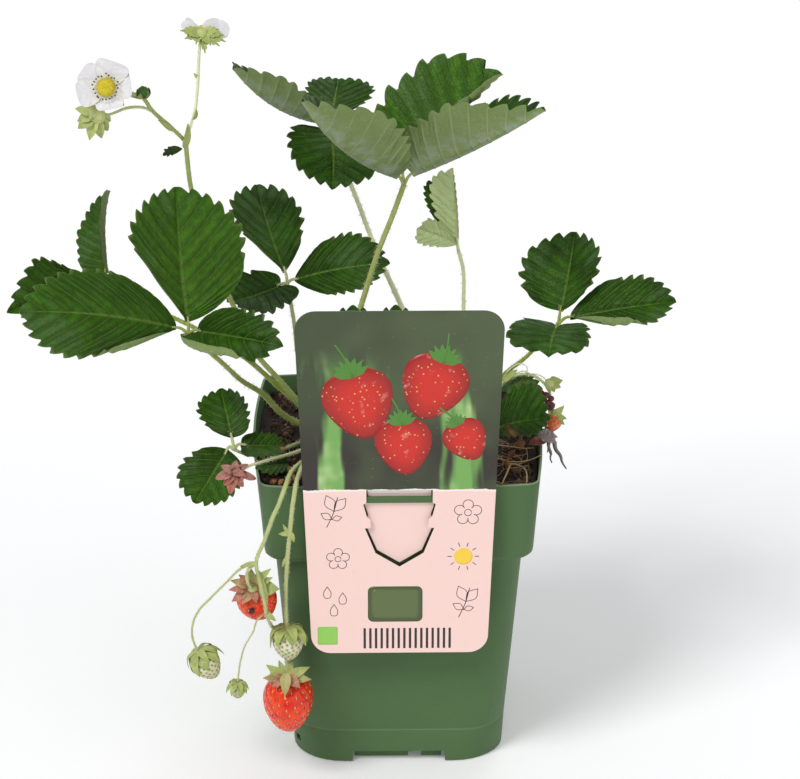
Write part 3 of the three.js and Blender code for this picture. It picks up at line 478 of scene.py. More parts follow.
# A leaflet, closed round its edge. Row r meets each half's edge at the share r of its run, and leaves
# the midrib at s, which creeps over the plain foot and then goes as t^1.45, so that rows lean forward
# like side veins. A tooth moves the edge in by depth (1 - t)^1.7, t being the way from one vein to the
# next, and teeth fade where their half rolls right over. Across, a point turns up from the midrib by
# the fold angle, plus the roll from rollFrom outwards, which ends at rollTo of the length. The under
# side is the upper one moved by the thickness along the blade's own normal.
def leaflet(shell, base, tip, face, left, right, fold=14, arch=2, veins=8, teeth=None, plain=0.26,
            roll=(0, 0), rollFrom=0.74, rollTo=2.0, wave=0.6, tone=0.0, pale=0.0, quilt=None,
            thick=None, columns=31, perVein=10):
    teeth = np.broadcast_to(leafValues["toothDepth"] if teeth is None else teeth, 2)
    quilt = leafValues["quilt"] if quilt is None else quilt
    thick = leafValues["thickness"] if thick is None else thick
    base, tip = np.asarray(base, float), np.asarray(tip, float)
    length = np.linalg.norm(tip - base)
    along = (tip - base) / length
    up = unit(np.asarray(face, float) - np.dot(face, along) * along)
    side = np.cross(up, along)

    footRows = max(2, round(plain / (1 - plain) * veins * perVein * 0.6))
    toothed = np.linspace(0, veins, veins * perVein + 1)
    foot = np.linspace(0, plain, footRows, endpoint=False)
    footVeins = np.linspace(-plain / (1 - plain) * veins, 0, footRows, endpoint=False)
    r = np.concatenate([foot, plain + (1 - plain) * toothed / veins])
    t = np.concatenate([footVeins, toothed])
    s = np.where(t < 0, 0.05 * r / plain, 0.05 + 0.95 * np.maximum(t / veins, 0) ** 1.45)

    way, back = t % 1.0, 0.12  # a tooth falls back over this share of the way
    notch = np.where(way < back, way / back, ((1 - way) / (1 - back)) ** 1.7) * ease(t, -0.1, 1.1)
    uneven = 1 + 0.22 * np.sin(7.3 * np.floor(t) + 5 * tone)
    curl = ease(rollTo - r, 0.0, 0.25)
    edges = []
    for half, depth, turned in zip((left, right), teeth, roll):
        edge, run = halfEdge(r, *half, length)
        path = np.gradient(edge, axis=0)
        inward = unit(np.stack([-path[:, 1], path[:, 0]], axis=-1))
        pitch = run * (1 - plain) / veins
        held = 1 - (0.92 if turned > 120 else 0) * curl
        bite = depth * pitch * notch * uneven * held * ease(1 - r, 0.0, 0.04)
        edges.append(edge + inward * bite[:, None])

    crowd = np.pi / 2 * 0.86  # columns stand closer towards the rims
    v = np.sin(np.linspace(-1, 1, columns) * crowd) / np.sin(crowd)
    w = np.abs(v)
    reach = np.where(v[None] < 0, *(np.maximum(edge[:, :1], 0.25) for edge in edges))
    rim = np.where(v[None] < 0, *(edge[:, 1:] / length for edge in edges))
    rolls = np.where(v < 0, *roll) * ease(w, rollFrom, 0.98)
    angle = np.radians(fold + rolls[None] * (ease(r, 0.0, 0.14) * curl)[:, None])
    step = np.diff(v)
    middle = (angle[:, 1:] + angle[:, :-1]) / 2
    start = np.zeros((len(s), 1))
    out = np.concatenate([start, np.cumsum(np.cos(middle) * step, axis=1)], axis=1)
    rise = np.sin(middle) * step * np.sign(v[1:] + v[:-1])
    rise = np.concatenate([start, np.cumsum(rise, axis=1)], axis=1)
    centre = len(v) // 2
    out, rise = out - out[:, centre:centre + 1], rise - rise[:, centre:centre + 1]

    run = s[:, None] + (rim - s[:, None]) * w[None] ** leafValues["rowLean"]
    ripple = np.sin(2 * np.pi * (2.6 * run + 0.37 * np.sign(v)[None] + tone)) * w[None] ** 2.5 * reach / 20
    pillow = (np.sin(np.pi * way) ** 0.6 - 0.6)[:, None] * (w * (1.25 - w))[None]
    pillow = pillow * np.minimum(reach / 12, 1) * 1.6
    trough = np.exp(-((w[None] * reach) / 1.1) ** 2)
    lift = arch * 4 * run * (1 - run) + wave * ripple + quilt * (pillow - 0.9 * trough)
    top = base + (run * length)[..., None] * along
    top = top + (out * reach)[..., None] * side + (rise * reach + lift)[..., None] * up

    veinBelow = np.exp(-((np.minimum(way, 1 - way) * pitch) / 0.5) ** 2)[:, None] * (1 - w[None] ** 4)
    ribs = min(1.0, left[0] / 12.5)
    thick = thick + ribs * (0.3 * veinBelow + 0.75 * trough * (1 - s)[:, None])
    normal = np.cos(angle)[..., None] * up - (np.sin(angle) * np.sign(v))[..., None] * side
    low = top - thick[..., None] * normal
    points = np.concatenate([top, low[:, ::-1]], axis=1)
    at = np.zeros(points.shape)  # veins passed, place across, and 0 above or 1 below
    at[..., 0] = t[:, None]
    at[..., 1] = np.concatenate([v, v[::-1]])[None]
    at[..., 2] = np.concatenate([np.zeros(len(v)), np.ones(len(v))])[None]
    shell.add(points, at, (tone, pitch, pale))


def leafLook():
    look, values = Look("leaf skin"), leafValues
    row, across, under = look.read("at").parts()
    tone, spacing, pale = look.read("tint").parts()
    cloud = look.noise(look.place, 0.06, 3.0)
    fine = look.noise(look.place, 1.2, 3.0)
    crinkle = look.noise(look.place, 0.3, 2.0, 0.45)
    net = look.cells(look.place, 0.75, "DISTANCE_TO_EDGE")
    w = across.abs()
    fromVein = (row.fract() - 0.5).abs() * -1.0 + 0.5  # 0 on a side vein
    sideVein = look.smooth(fromVein * spacing, 0.1, 0.42, 1.0, 0.0) * look.smooth(w, 0.5, 1.02, 1.0, 0.25)
    twig = (row * 3.0 + w * 2.0).fract()
    branch = look.smooth(((twig - 0.5).abs() - 0.5).abs(), 0.0, 0.05, 1.0, 0.0) * look.smooth(w, 0.25, 0.6)
    midrib = look.smooth(w, 0.012, 0.05, 1.0, 0.0)
    mesh = look.smooth(net, 0.0, 0.09, 1.0, 0.0)
    veins = sideVein.max(midrib)
    dark, light = scaled(values["upper"], 0.75), scaled(values["upper"], 1.75)
    shade = look.mix(look.smooth(cloud, 0.3, 0.7), dark, light)
    # Painted light: a leaf's tone mixes in a lighter, sunlit green, for the leaves that catch the most light.
    paintedSunlit = look.mix(cloud, (0.036, 0.115, 0.002), (0.068, 0.195, 0.008))
    shade = look.mix(tone.max(0.0) * 0.9, shade, paintedSunlit)
    # Painted shade and highlight: darker in the troughs along the side veins, lighter on the bulges between
    # them.
    paintedQuiltShade = look.smooth(fromVein + (crinkle - 0.5) * 0.9, 0.08, 0.6)
    shade = look.mix(paintedQuiltShade, shade * (0.74, 0.78, 0.74), shade * (1.32, 1.24, 1.2))
    sheen = look.smooth(look.noise(look.place, 0.05, 4.0, 0.6), 0.5, 0.66)
    sheen = sheen * look.smooth(fromVein, 0.05, 0.4, 0.3, 1.0)
    shade = look.mix(sheen * 0.45, shade, (0.1, 0.175, 0.07))
    shade = look.mix(mesh * 0.16 + branch * 0.1, shade, values["vein"])
    shade = look.mix((sideVein * (0.62 - 0.4 * fine)).max(midrib * 0.8), shade, values["vein"])
    toothTip = look.smooth(w, 0.93, 1.0) * look.smooth(fromVein, 0.0, 0.12, 1.0, 0.0)
    edge = look.smooth(w, 0.965, 1.0)
    shade = look.mix((toothTip * 0.8).max(edge * 0.5), shade, (0.2, 0.26, 0.07))
    speck = look.smooth(look.noise(look.place, 1.9, 1.0), 0.76, 0.8)
    shade = look.mix(speck * 0.3, shade, (0.16, 0.2, 0.12))
    below = look.mix(cloud, scaled(values["under"], 0.85), scaled(values["under"], 1.12))
    below = look.mix(mesh * 0.35 + branch * 0.2, below, values["underVein"])
    below = look.mix(veins * 0.75, below, values["underVein"])
    silver = look.smooth(look.noise(look.place, 0.16, 4.0, 0.65), 0.38, 0.66)
    silver = silver * look.smooth(w, 0.0, 0.7, 0.7, 0.0)
    below = look.mix(silver, below, (0.37, 0.42, 0.36))
    young = look.mix(veins * 0.6, scaled(values["young"], 0.8), values["young"])
    color = look.mix(pale, look.mix(under, shade, below), young)
    for centre, squash in values["spots"]:
        away = look.distance(centre, squash)
        worn = look.smooth(away + look.noise(look.place, 0.5, 2.0) * 0.3, 1.1, 1.25, 1.0, 0.0)
        brown = look.mix(look.smooth(away, 0.3, 0.8), (0.3, 0.21, 0.08), (0.14, 0.07, 0.02))
        color = look.mix(worn, color, brown)
    gloss = look.smooth(look.noise(look.place, 0.09, 3.0), 0.35, 0.65)
    rough = values["roughness"] + 0.16 * gloss + under * 0.2 + 0.1 * fine
    height = mesh * -0.3 + branch * -0.5 + sideVein * -0.6 + fine * 0.3 + crinkle * 2.0
    normal = look.bump(height * (1.0 - 1.5 * under), 0.5, 1.0)
    return look.done(Base_Color=color, Roughness=rough, Normal=normal, Specular_IOR_Level=0.2)


# Ends and facing of each blade, then each half: width, swell, narrowing and backward lobe.
leaves = {
    "large_left_leaf_centre": dict(
        base=(-95, -36, 219), tip=(-99.9, -10.4, 274.7), face=(0.51, -0.76, 0.4),
        left=(31.2, 0.82, 0.62, 0.11),
        right=(30.6, 0.87, 0.55, -0.39), fold=14, arch=-1.6, tone=0.85, veins=8, plain=0.4),
    "large_left_leaf_left": dict(
        base=(-100, -38, 217), tip=(-168.3, -61.8, 235.3), face=(0.4, -0.67, 0.62),
        left=(20.6, 0.66, 0.5, -0.07),
        right=(24.4, 0.86, 0.42, -0.18), fold=12, arch=6.8, roll=(0, 150), rollFrom=0.83, rollTo=0.6,
        tone=0.35, veins=9, plain=0.4),
    "large_left_leaf_right": dict(
        base=(-91, -39, 216), tip=(-52.3, -72.8, 222.7), face=(-0.56, -0.52, 0.64),
        left=(18.2, 0.9, 0.5, 0.7),
        right=(13.3, 0.83, 0.51, 0.21), fold=24, arch=1.8, roll=(150, 0), rollFrom=0.6, rollTo=0.86, tone=0.1,
        veins=6, plain=0.46, teeth=0.6),
    "far_left_leaf_left": dict(
        base=(-140, 9, 220), tip=(-176.7, -28.9, 221.7), face=(0.56, -0.51, 0.65),
        left=(19.4, 0.82, 0.77, -0.5),
        right=(18.3, 0.67, 0.69, -0.04), fold=23, arch=4.7, tone=0.6, roll=(20, 0)),
    "far_left_leaf_upper": dict(
        base=(-135, 13, 224), tip=(-134.3, 38.3, 254.9), face=(-0.82, -0.43, 0.37),
        left=(16.1, 0.57, 0.53, 0.1),
        right=(16.1, 0.41, 0.58, 0.14), fold=19, arch=2.4, tone=0.5, veins=9, roll=(34, 0), rollFrom=0.0),
    "far_left_leaf_right": dict(
        base=(-135, 5, 217), tip=(-126, -22, 201), face=(-0.2, -0.5, 0.84), left=(14, 0.75, 0.5, 0),
        right=(14, 0.75, 0.5, 0), fold=12, arch=2, tone=0.1),
    "middle_left_leaf_upper": dict(
        base=(-52, 28, 218), tip=(-65.2, 56.5, 251.1), face=(0.43, -0.59, 0.68),
        left=(18.7, 0.83, 0.54, -0.09),
        right=(21.3, 0.89, 0.48, -0.28), fold=10, arch=-1.4, tone=0.1, veins=7, plain=0.3),
    "middle_left_leaf_right": dict(
        base=(-48, 25, 215), tip=(-3.6, 12.3, 228.4), face=(-0.38, -0.71, 0.59),
        left=(15.7, 0.78, 0.55, -0.12),
        right=(16.3, 0.87, 0.55, -0.07), fold=18, arch=3.9, tone=0.05, plain=0.4),
    "middle_left_leaf_left": dict(
        base=(-54, 22, 214), tip=(-78.1, -0.3, 215), face=(0.32, -0.31, 0.9), left=(14.5, 0.98, 0.46, 0.5),
        right=(16.4, 0.86, 0.5, 0.72), fold=13, arch=-1.9, veins=7),
    "tall_leaf_left": dict(
        base=(0, -9, 279), tip=(-42, -50.3, 329.3), face=(0.52, 0.4, 0.76), left=(30.6, 0.35, 0.77, 0.1),
        right=(33.3, 0.61, 0.74, -0.36), fold=38, arch=-5.4, veins=9),
    "tall_leaf_right": dict(
        base=(7, -9, 280), tip=(64.3, -42.5, 322.1), face=(-0.37, 0.41, 0.83), left=(30.6, 0.41, 0.79, -0.32),
        right=(27.2, 0.44, 0.72, -0.21), fold=45, arch=-1.8, veins=9),
    "tall_leaf_back": dict(
        base=(5, 4, 281), tip=(47.7, 14.9, 319.4), face=(-0.56, -0.38, 0.73), left=(27.6, 0.54, 0.5, 0),
        right=(31.3, 0.35, 0.43, 0.51), fold=30, arch=3.2, tone=1.2, veins=8, roll=(100, 0)),
    "back_tall_leaf_left": dict(
        base=(-36, 36, 290), tip=(-73.5, 4, 326.5), face=(0.45, 0.39, 0.8), left=(23, 0.36, 0.61, 0.4),
        right=(22, 0.56, 0.56, -0.03), fold=29, arch=-4.4, veins=8),
    "back_tall_leaf_back": dict(
        base=(-30, 40, 290), tip=(-26.4, 67.1, 300.1), face=(0.02, -0.35, 0.94),
        left=(18.9, 0.75, 0.51, -0.02),
        right=(14.6, 0.69, 0.53, -0.01), fold=10, arch=0.3, tone=0.05),
    "back_tall_leaf_front": dict(
        base=(-30, 31, 287), tip=(-29.4, 8.7, 266.3), face=(0.22, -0.66, 0.72), left=(23.8, 0.47, 0.48, 0.32),
        right=(23.5, 0.63, 0.48, -0.03), fold=13, arch=3.9, tone=0.05),
    "right_leaf_upper": dict(
        base=(75, -8, 212), tip=(82, 12.4, 243.2), face=(-0.58, -0.61, 0.53), left=(22.3, 0.62, 0.55, -0.14),
        right=(24.7, 0.46, 0.55, -0.09), fold=15, arch=-0.7, tone=0.1, veins=7),
    "right_leaf_right": dict(
        base=(79, -11, 210), tip=(126.6, -22.2, 222.4), face=(-0.33, -0.5, 0.8),
        left=(17.4, 0.94, 0.51, -0.3),
        right=(15.2, 0.75, 0.56, -0.02), fold=19, arch=1, tone=0.0, roll=(150, 0), rollFrom=0.72, rollTo=0.72,
        veins=7, plain=0.42, teeth=0.5),
    "right_leaf_front": dict(
        base=(73, -16, 208), tip=(68, -40.4, 203.6), face=(-0.05, -0.17, 0.98), left=(21, 0.8, 0.3, 1.7),
        right=(18.4, 0.8, 0.27, 1.05), fold=7, arch=2.4, tone=0.0, plain=0.16, teeth=0.36),
    "low_left_leaf_upper": dict(
        base=(-76, -44, 165), tip=(-81, -35.2, 185.9), face=(-0.02, -0.92, 0.38),
        left=(11.6, 0.62, 0.54, 0.24),
        right=(13.8, 0.81, 0.45, -0.01), fold=19, arch=-1.1, veins=7),
    "low_left_leaf_left": dict(
        base=(-78, -46, 160), tip=(-93.5, -54.1, 137), face=(0.02, -0.95, 0.32), left=(16, 0.62, 0.51, 0),
        right=(14.3, 0.44, 0.6, 0.05), fold=14, arch=2.4, veins=7, tone=0.2),
    "low_left_leaf_right": dict(
        base=(-71.8, -44, 161.5), tip=(-51.6, -39, 158.9), face=(0.24, -0.55, 0.8),
        left=(8.5, 0.61, 0.52, 0.45),
        right=(6.5, 0.64, 0.52, 0.27), fold=12, arch=0.5, veins=6),
    "young_leaf_blade": dict(
        base=(28, 12, 238), tip=(25.4, 12, 274.4), face=(-0.25, -0.95, 0.2), left=(1.3, 0.6, 0.6, 0),
        right=(11.5, 0.8, 0.34, 0.15), fold=16, arch=-0.6, pale=1.0, veins=8, plain=0.2, teeth=0.36),
    "low_right_leaf_blade": dict(
        base=(45, -20, 158.4), tip=(69.6, -29.5, 167.6), face=(-0.3, -0.5, 0.8), left=(11.4, 0.62, 0.34, 0),
        right=(19.4, 0.52, 0.42, 0), fold=12, arch=2, veins=8, teeth=0.55),
    "hidden_leaf_blade": dict(
        base=(-20, -30, 188), tip=(-20.5, -27, 222.8), face=(0, -0.9, 0.4), left=(13, 0.7, 0.42, 0),
        right=(13, 0.7, 0.42, 0), fold=10, arch=2, tone=0.0),
    "small_leaf": dict(
        base=(-50, -40, 150.5), tip=(-65, -50, 153), face=(0.1, -0.6, 0.8), left=(6.5, 0.75, 0.5, 0),
        right=(6.5, 0.75, 0.5, 0), fold=10, arch=0.5, veins=5),
}

leafMaterial = leafLook()
furtherBlades = {
    "young_leaf_blade": [
        dict(base=(28, 10, 237.6), tip=(9.4, 6, 247), face=(-0.3, -0.9, 0.2), left=(8.2, 0.95, 0.26, 0),
             right=(6.4, 0.9, 0.3, 0), fold=12, arch=-1.0, pale=1.0, veins=6, plain=0.24, teeth=0.36),
        dict(base=(21.6, 15, 246), tip=(14.6, 17, 266.6), face=(-0.2, -0.9, 0.2), left=(5.2, 0.6, 0.4, 0),
             right=(4.4, 0.6, 0.4, 0), fold=12, arch=1, tone=0.7, veins=6, teeth=0.36)],
    "hidden_leaf_blade": [
        dict(base=(-2, -30, 188), tip=(-1, -27, 222.8), face=(0, -0.9, 0.4), left=(13, 0.7, 0.45, 0),
             right=(12, 0.7, 0.45, 0), fold=10)],
}
for name, shapeOf in leaves.items():
    shell = Shell()
    leaflet(shell, **shapeOf)
    for blade in furtherBlades.get(name, ()):
        leaflet(shell, **blade)
    shell.make(name + " blade", leafMaterial, "young_leaf" if "young" in name else "leaf", name)
shell = Shell()  # a leaf just behind the low right one, and the leafy bract under the flowers
leaflet(shell, (50.6, -7, 167.4), (67, -10, 174), (-0.3, -0.7, 0.65), (8, 0.6, 0.4, 0), (8.5, 0.6, 0.4, 0),
        veins=6, tone=0.7, pale=0.1, fold=10)
leaflet(shell, (-97.4, 1, 289.3), (-106, -3, 287.6), (0.1, -0.7, 0.7), (2.4, 0.8, 0.4, 0), (2.4, 0.8, 0.4, 0),
        veins=3, perVein=6, plain=0.4, columns=11, fold=8, arch=0.6)
shell.make("small blades", leafMaterial, "leaf")
print("leaves")


stalkValues = {
    "green": (0.27, 0.36, 0.025),
    "pale": (0.92, 0.94, 0.6),
    "red": (0.32, 0.1, 0.05),
    "hair": (0.95, 0.93, 0.82),
    "hairLength": 1.45,
    "hairThickness": 0.075,
    "hairsPerMillimetre": 5.5,
}
leftKnob, rightKnob = np.array([-30, -6, 147.7]), np.array([27, 4, 147.7])


def stalkLook():
    look = Look("stalk skin")
    pale, red, _ = look.read("tint").parts()
    along, turn, length = look.read("at").parts()
    lengthwise = look.add("CombineXYZ", {}, {0: turn * 9.0, 1: along * length * 0.12, 2: length})
    streak = look.noise(lengthwise, 1.0, 3.0)
    cloud = look.noise(look.place, 0.25, 3.0)
    pale = (pale + cloud * 0.5 - 0.25).max(0.0).min(1.0)
    color = look.mix(pale, stalkValues["green"], stalkValues["pale"])
    color = look.mix(streak * 0.25, color, scaled(stalkValues["green"], 0.55))
    foot = look.smooth(along, 0.0, 0.3, 1.0, 0.0)
    red = (red * (0.35 + foot) * look.smooth(cloud, 0.3, 0.7)).min(0.85)
    color = look.mix(red, color, stalkValues["red"])
    normal = look.bump(streak + 0.5 * look.noise(look.place, 2.5, 2.0), 0.12, 0.7)
    return look.done(Base_Color=color, Roughness=0.45 + 0.2 * cloud, Normal=normal)


def hairLook():
    look = Look("stalk hairs")
    color = look.mix(look.noise(look.place, 0.4, 2.0), stalkValues["hair"], (0.6, 0.62, 0.35))
    return look.done(Base_Color=color, Roughness=0.6)


# A route out of the crown: it starts inside the dome of the knob and leaves along a direction.
def fromKnob(knob, direction, points):
    out = unit(direction)
    return [knob + out * 5, knob + out * 14, *points]


leafStalks = {  # knob, direction out of it, radius, paleness, redness and route
    "large_left_leaf": (leftKnob, (-0.81, -0.26, 0.5), 1.25, 0.15, 0.2, [
        (-52, -13, 162), (-63, -20, 177), (-72, -26, 186), (-80, -30, 196), (-89, -35, 207),
        (-95, -38, 214)]),
    "far_left_leaf": (leftKnob, (-0.74, 0.3, 0.61), 1.1, 0.05, 0.2, [
        (-47, 2, 162), (-54, 4, 168), (-69, 6, 182), (-96, 8, 199), (-119, 9, 210), (-136, 10, 219)]),
    "middle_left_leaf": (leftKnob, (-0.35, 0.53, 0.78), 1.05, 0.5, 0, [
        (-46, 17, 178), (-48, 22, 194), (-51, 25, 213)]),
    "tall_leaf": (leftKnob, (0.14, 0, 0.99), 1.35, 0.2, 0.35, [
        (-24, -6, 190), (-17, -6, 213), (-9, -6, 240), (-1, -7, 262), (3, -8, 274)]),
    "back_tall_leaf": (rightKnob, (-0.42, 0.3, 0.85), 1.2, 1.3, 0, [
        (13, 14, 176), (3, 24, 200), (-9, 32, 226), (-21, 36, 258), (-28, 36, 275), (-32, 35, 286)]),
    "right_leaf": (rightKnob, (0.7, 0, 0.7), 1, 0.05, 0.3, [
        (40, 4, 161), (49, 2, 175), (61, -7, 190), (69, -11, 202), (74, -12, 207)]),
    "low_left_leaf": (leftKnob, (-0.8, -0.55, 0.2), 0.9, 0.4, 0.2, [
        (-46, -19, 151), (-53, -28, 152), (-63, -38, 154), (-70, -43, 156.5), (-75, -46, 160)]),
    "young_leaf": (rightKnob, (0.15, 0.12, 0.98), 0.95, 0.7, 0, [
        (32, 8, 181), (31, 9, 206), (30, 11, 229), (28.5, 12, 234)]),
    "low_right_leaf": (rightKnob, (0.55, -0.75, 0.35), 0.9, 0.4, 0.1, [
        (38, -12, 154), (43, -17, 156)]),
    "hidden_leaf": (rightKnob, (-0.51, -0.54, 0.66), 0.9, 0.5, 0, [
        (12, -12, 166), (-2, -22, 178), (-10, -28, 184)]),
}
hairShell = Shell()
stalkMaterial = stalkLook()


# Hairs on one stalk, by shares of the usual density and length.
def fuzz(path, radius, density=1.0, length=1.0):
    v = stalkValues
    perMillimetre, length = v["hairsPerMillimetre"] * density, v["hairLength"] * length
    hairs(hairShell, path, radius, perMillimetre, length, v["hairThickness"])


for name, (knob, direction, radius, pale, red, route) in leafStalks.items():
    shell = Shell()
    path = tube(shell, fromKnob(knob, direction, route), radius, tint=(pale, red, 0), ends=(1.12, 0.85))
    fuzz(path, radius)
    for leafName, shapeOf in leaves.items():
        if leafName.startswith(name + "_"):
            base, tip = np.array(shapeOf["base"], float), np.array(shapeOf["tip"], float)
            along = unit(tip - base)
            twigRoute = [route[-1], base - along * 1.8, base + along * 2.5]
            twig = tube(shell, twigRoute, 0.8, 10, 0.8, (pale, 0.1, 0), (1.05, 0.6))
            fuzz(twig, 0.8, 0.7, 0.7)
    shell.make(name + " petiole", stalkMaterial, "stalk", name + "_stalk")

trussNode = (-96, 2, 292)
forkHigh, forkLow = (-65, -79, 119), (-61, -81, 94)
trusses = {  # radius, paleness, redness, end widths and route of each branch
    "flower_stalk": [
        (1.15, 0.2, 0, (1.1, 0.9), fromKnob(leftKnob, (-0.62, -0.3, 0.74), [
            (-46, -10, 168), (-55, -9, 179), (-64, -9, 190), (-76, -8, 217), (-88, -3, 248),
            (-94, 0, 271), trussNode])),
        (0.85, 0.2, 0, (1.15, 0.85), [
            trussNode, (-103, -2, 301), (-110, -8, 310), (-114, -13, 318), (-118, -19, 322),
            (-123, -22.5, 324.5), (-127.6, -25.4, 326.6), (-128.8, -28.8, 328.1)]),
        (0.66, 0.45, 0, (1, 0.9), [
            (-108.2, -6.5, 308), (-113.2, -11, 312.5), (-117.4, -15, 314.4), (-121.6, -19, 315.1),
            (-125.9, -23, 314.6), (-129.6, -25.4, 314)]),
        (0.62, 0.95, 0, (1.1, 1.1), [
            trussNode, (-94, 2, 298), (-92, 2, 304), (-90, 3, 318), (-89.2, 3.4, 331),
            (-88.3, 3.9, 340.6)]),
        (0.7, 0.3, 0, (1, 1), [(-113.5, -13, 317.5), (-113.1, -14.5, 319.3), (-112.6, -16.2, 321.4)]),
    ],
    "long_fruit_stalk": [
        (1.05, 0.35, 0, (1.2, 0.75), fromKnob(leftKnob, (-0.45, -0.88, 0.1), [
            (-43, -40, 152), (-50, -62, 153.5), (-51.5, -68, 151.5), (-54, -72, 146), (-58, -74, 137),
            (-61, -76, 129), forkHigh, (-63, -82, 109), (-61, -82, 97), forkLow])),
        (0.43, 0.4, 0.3, (1.3, 1), [
            forkHigh, (-71, -80, 117), (-79, -80, 109), (-86, -79, 101), (-91, -78, 95), (-93.5, -77, 90),
            (-95, -76, 82), (-92.5, -74, 70.4)]),
        (0.34, 0.5, 0.9, (1, 1.1), [
            forkLow, (-64, -81, 92), (-67, -80, 84), (-71, -79, 76), (-73, -78, 68), (-74.5, -77, 56.4)]),
        (0.7, 0.5, 0.1, (0.9, 1.3), [
            forkLow, (-59.5, -74, 86), (-57.5, -62, 76), (-55, -57.5, 68), (-52.5, -62, 61.5),
            (-51.5, -67.5, 57.2)]),
        (0.75, 0.5, 0.2, (1, 1.1), [
            forkHigh, (-69, -80.5, 115), (-69, -80, 110), (-67.2, -77, 104.5), (-66.8, -74.8, 102.3)]),
    ],
    "short_fruit_stalk": [
        (0.9, 0.4, 0.35, (1.15, 1), fromKnob(leftKnob, (-0.15, -0.93, 0.3), [
            (-39, -38, 155), (-45.5, -62, 154.5), (-46.8, -68, 152.3), (-48, -71, 146), (-49, -72, 137),
            (-50, -72, 127), (-51, -72, 116), (-52, -71, 94), (-51.6, -70, 80.9)])),
    ],
    "right_fruit_stalk": [
        (0.75, 0.45, 0, (1.2, 0.7), fromKnob(rightKnob, (0.5, -0.35, 0.78), [
            (42, -5, 168), (49, -5, 174.6), (52.7, -7, 178.2), (56.8, -9, 180.6), (60.9, -10, 181.1),
            (64.5, -12, 180.3), (67.7, -13, 177.9), (69.6, -13, 175.5), (71, -12.5, 170),
            (72.4, -14.4, 163.2)])),
        (0.4, 0.6, 0.2, (1, 1), [
            (70.5, -12.5, 174), (71.5, -10, 165), (72.5, -12, 158.5), (72, -17, 154.4)]),
        (0.32, 0.8, 0, (1, 0.6), [
            (50.3, -7, 180.6), (54, -8, 184.5), (57.2, -9, 186.1), (59.4, -10, 185.3), (60.1, -11, 183.7),
            (59.4, -11, 181.7)]),
        (0.3, 0.8, 0, (1, 0.7), [
            (53.2, -7, 178.5), (56.3, -8, 181.4), (59.1, -9, 182.3), (61.3, -10, 180.9)]),
        (0.26, 0.9, 0, (1, 0.7), [
            (60.4, -10, 181.2), (64.1, -11, 181.6), (67.3, -12, 180.5), (70, -13, 177.6)]),
    ],
}
for name, branches in trusses.items():
    shell = Shell()
    for radius, pale, red, ends, route in branches:
        path = tube(shell, route, radius, 12, 1.2, (pale, red, 0), ends)
        fuzz(path, radius, 1.3 if name == "short_fruit_stalk" else 0.8, 0.65)
    shell.make(name + " branches", stalkMaterial, "stalk", name)
print("stalks")


# A soft leafy skin shaded from its base to its tip, with veins of their own colour.
def smallLook(name, inner, outer, veinColor, rough, grain=0.15):
    look = Look(name)
    row, across, _ = look.read("at").parts()
    tone, _, red = look.read("tint").parts()
    cloud = look.noise(look.place, 0.5, 3.0)
    t = look.smooth(row, 0.0, 5.0)
    color = look.mix(t, inner, outer)
    color = look.mix(cloud * 0.5, color, scaled(outer, 0.7))
    color = look.mix(tone.max(0.0).min(1.0) * 0.95, color, scaled(outer, 0.17))
    color = look.mix(look.smooth(red * (0.5 + cloud), 0.15, 0.85), color, (0.46, 0.15, 0.11))
    midrib = look.smooth(across.abs(), 0.0, 0.12, 1.0, 0.0)
    line = look.smooth((row.fract() - 0.5).abs(), 0.38, 0.5).max(midrib)
    color = look.mix(line * 0.35, color, veinColor)
    normal = look.bump(look.noise(look.place, 2.2, 3.0) - line * 0.6, grain, 0.7)
    return look.done(Base_Color=color, Roughness=rough, Normal=normal)


# The two halves of an even blade.
def even(width, swell, narrow):
    half = (width / 2, swell, narrow, 0.0)
    return {"left": half, "right": half}


# A ring of small blades round an axis: blade k stands at angle k, leaning by lift degrees from the
# plane square to the axis, its face turned along the axis.
def ringOf(shell, at, axis, count, reach, width, lift, start=0.4, turn=0.0, jitter=0.12,
           tones=(0, 0), shape=(0.45, 0.8), **blade):
    at, axis = np.asarray(at, float), unit(axis)
    x, y = squareTo(axis)
    for k in range(count):
        a = turn + 2 * np.pi * (k + rng.uniform(-jitter, jitter)) / count
        out = math.cos(a) * x + math.sin(a) * y
        e = math.radians(lift + rng.uniform(-9, 9) * jitter * 8)
        along = out * math.cos(e) + axis * math.sin(e)
        size = reach * (1 + rng.uniform(-1, 1) * jitter)
        face = axis * math.cos(e) - out * math.sin(e)
        base = at + out * start
        leaflet(shell, base, base + along * size, face, tone=tones[k % len(tones)],
                **even(width * (1 + rng.uniform(-1, 1) * jitter), *shape), **blade)


sepalShape = dict(fold=8, arch=0.8, veins=3, teeth=0.0, plain=0.15, wave=0.3, quilt=0.1, thick=0.22,
                  columns=9, perVein=5)
sepalMaterial = smallLook("sepal skin", (0.56, 0.61, 0.22), (0.3, 0.41, 0.065), (0.6, 0.64, 0.3), 0.5)
petalMaterial = smallLook("petal skin", (0.86, 0.82, 0.68), (0.85, 0.84, 0.87), (0.7, 0.68, 0.7), 0.55, 0.15)


# Blades at measured places, each from its base to its tip, with one facing for all. The shape is the
# swell and narrowing of every blade, and their tones go round in three.
def spray(shell, blades, face, shape=(0.45, 0.95), **blade):
    for k, (base, tip, width, red) in enumerate(blades):
        halves = even(width * 1.1, *shape)
        leaflet(shell, base, tip, face, tone=0.09 * (k % 3), pale=red, **halves, **blade)


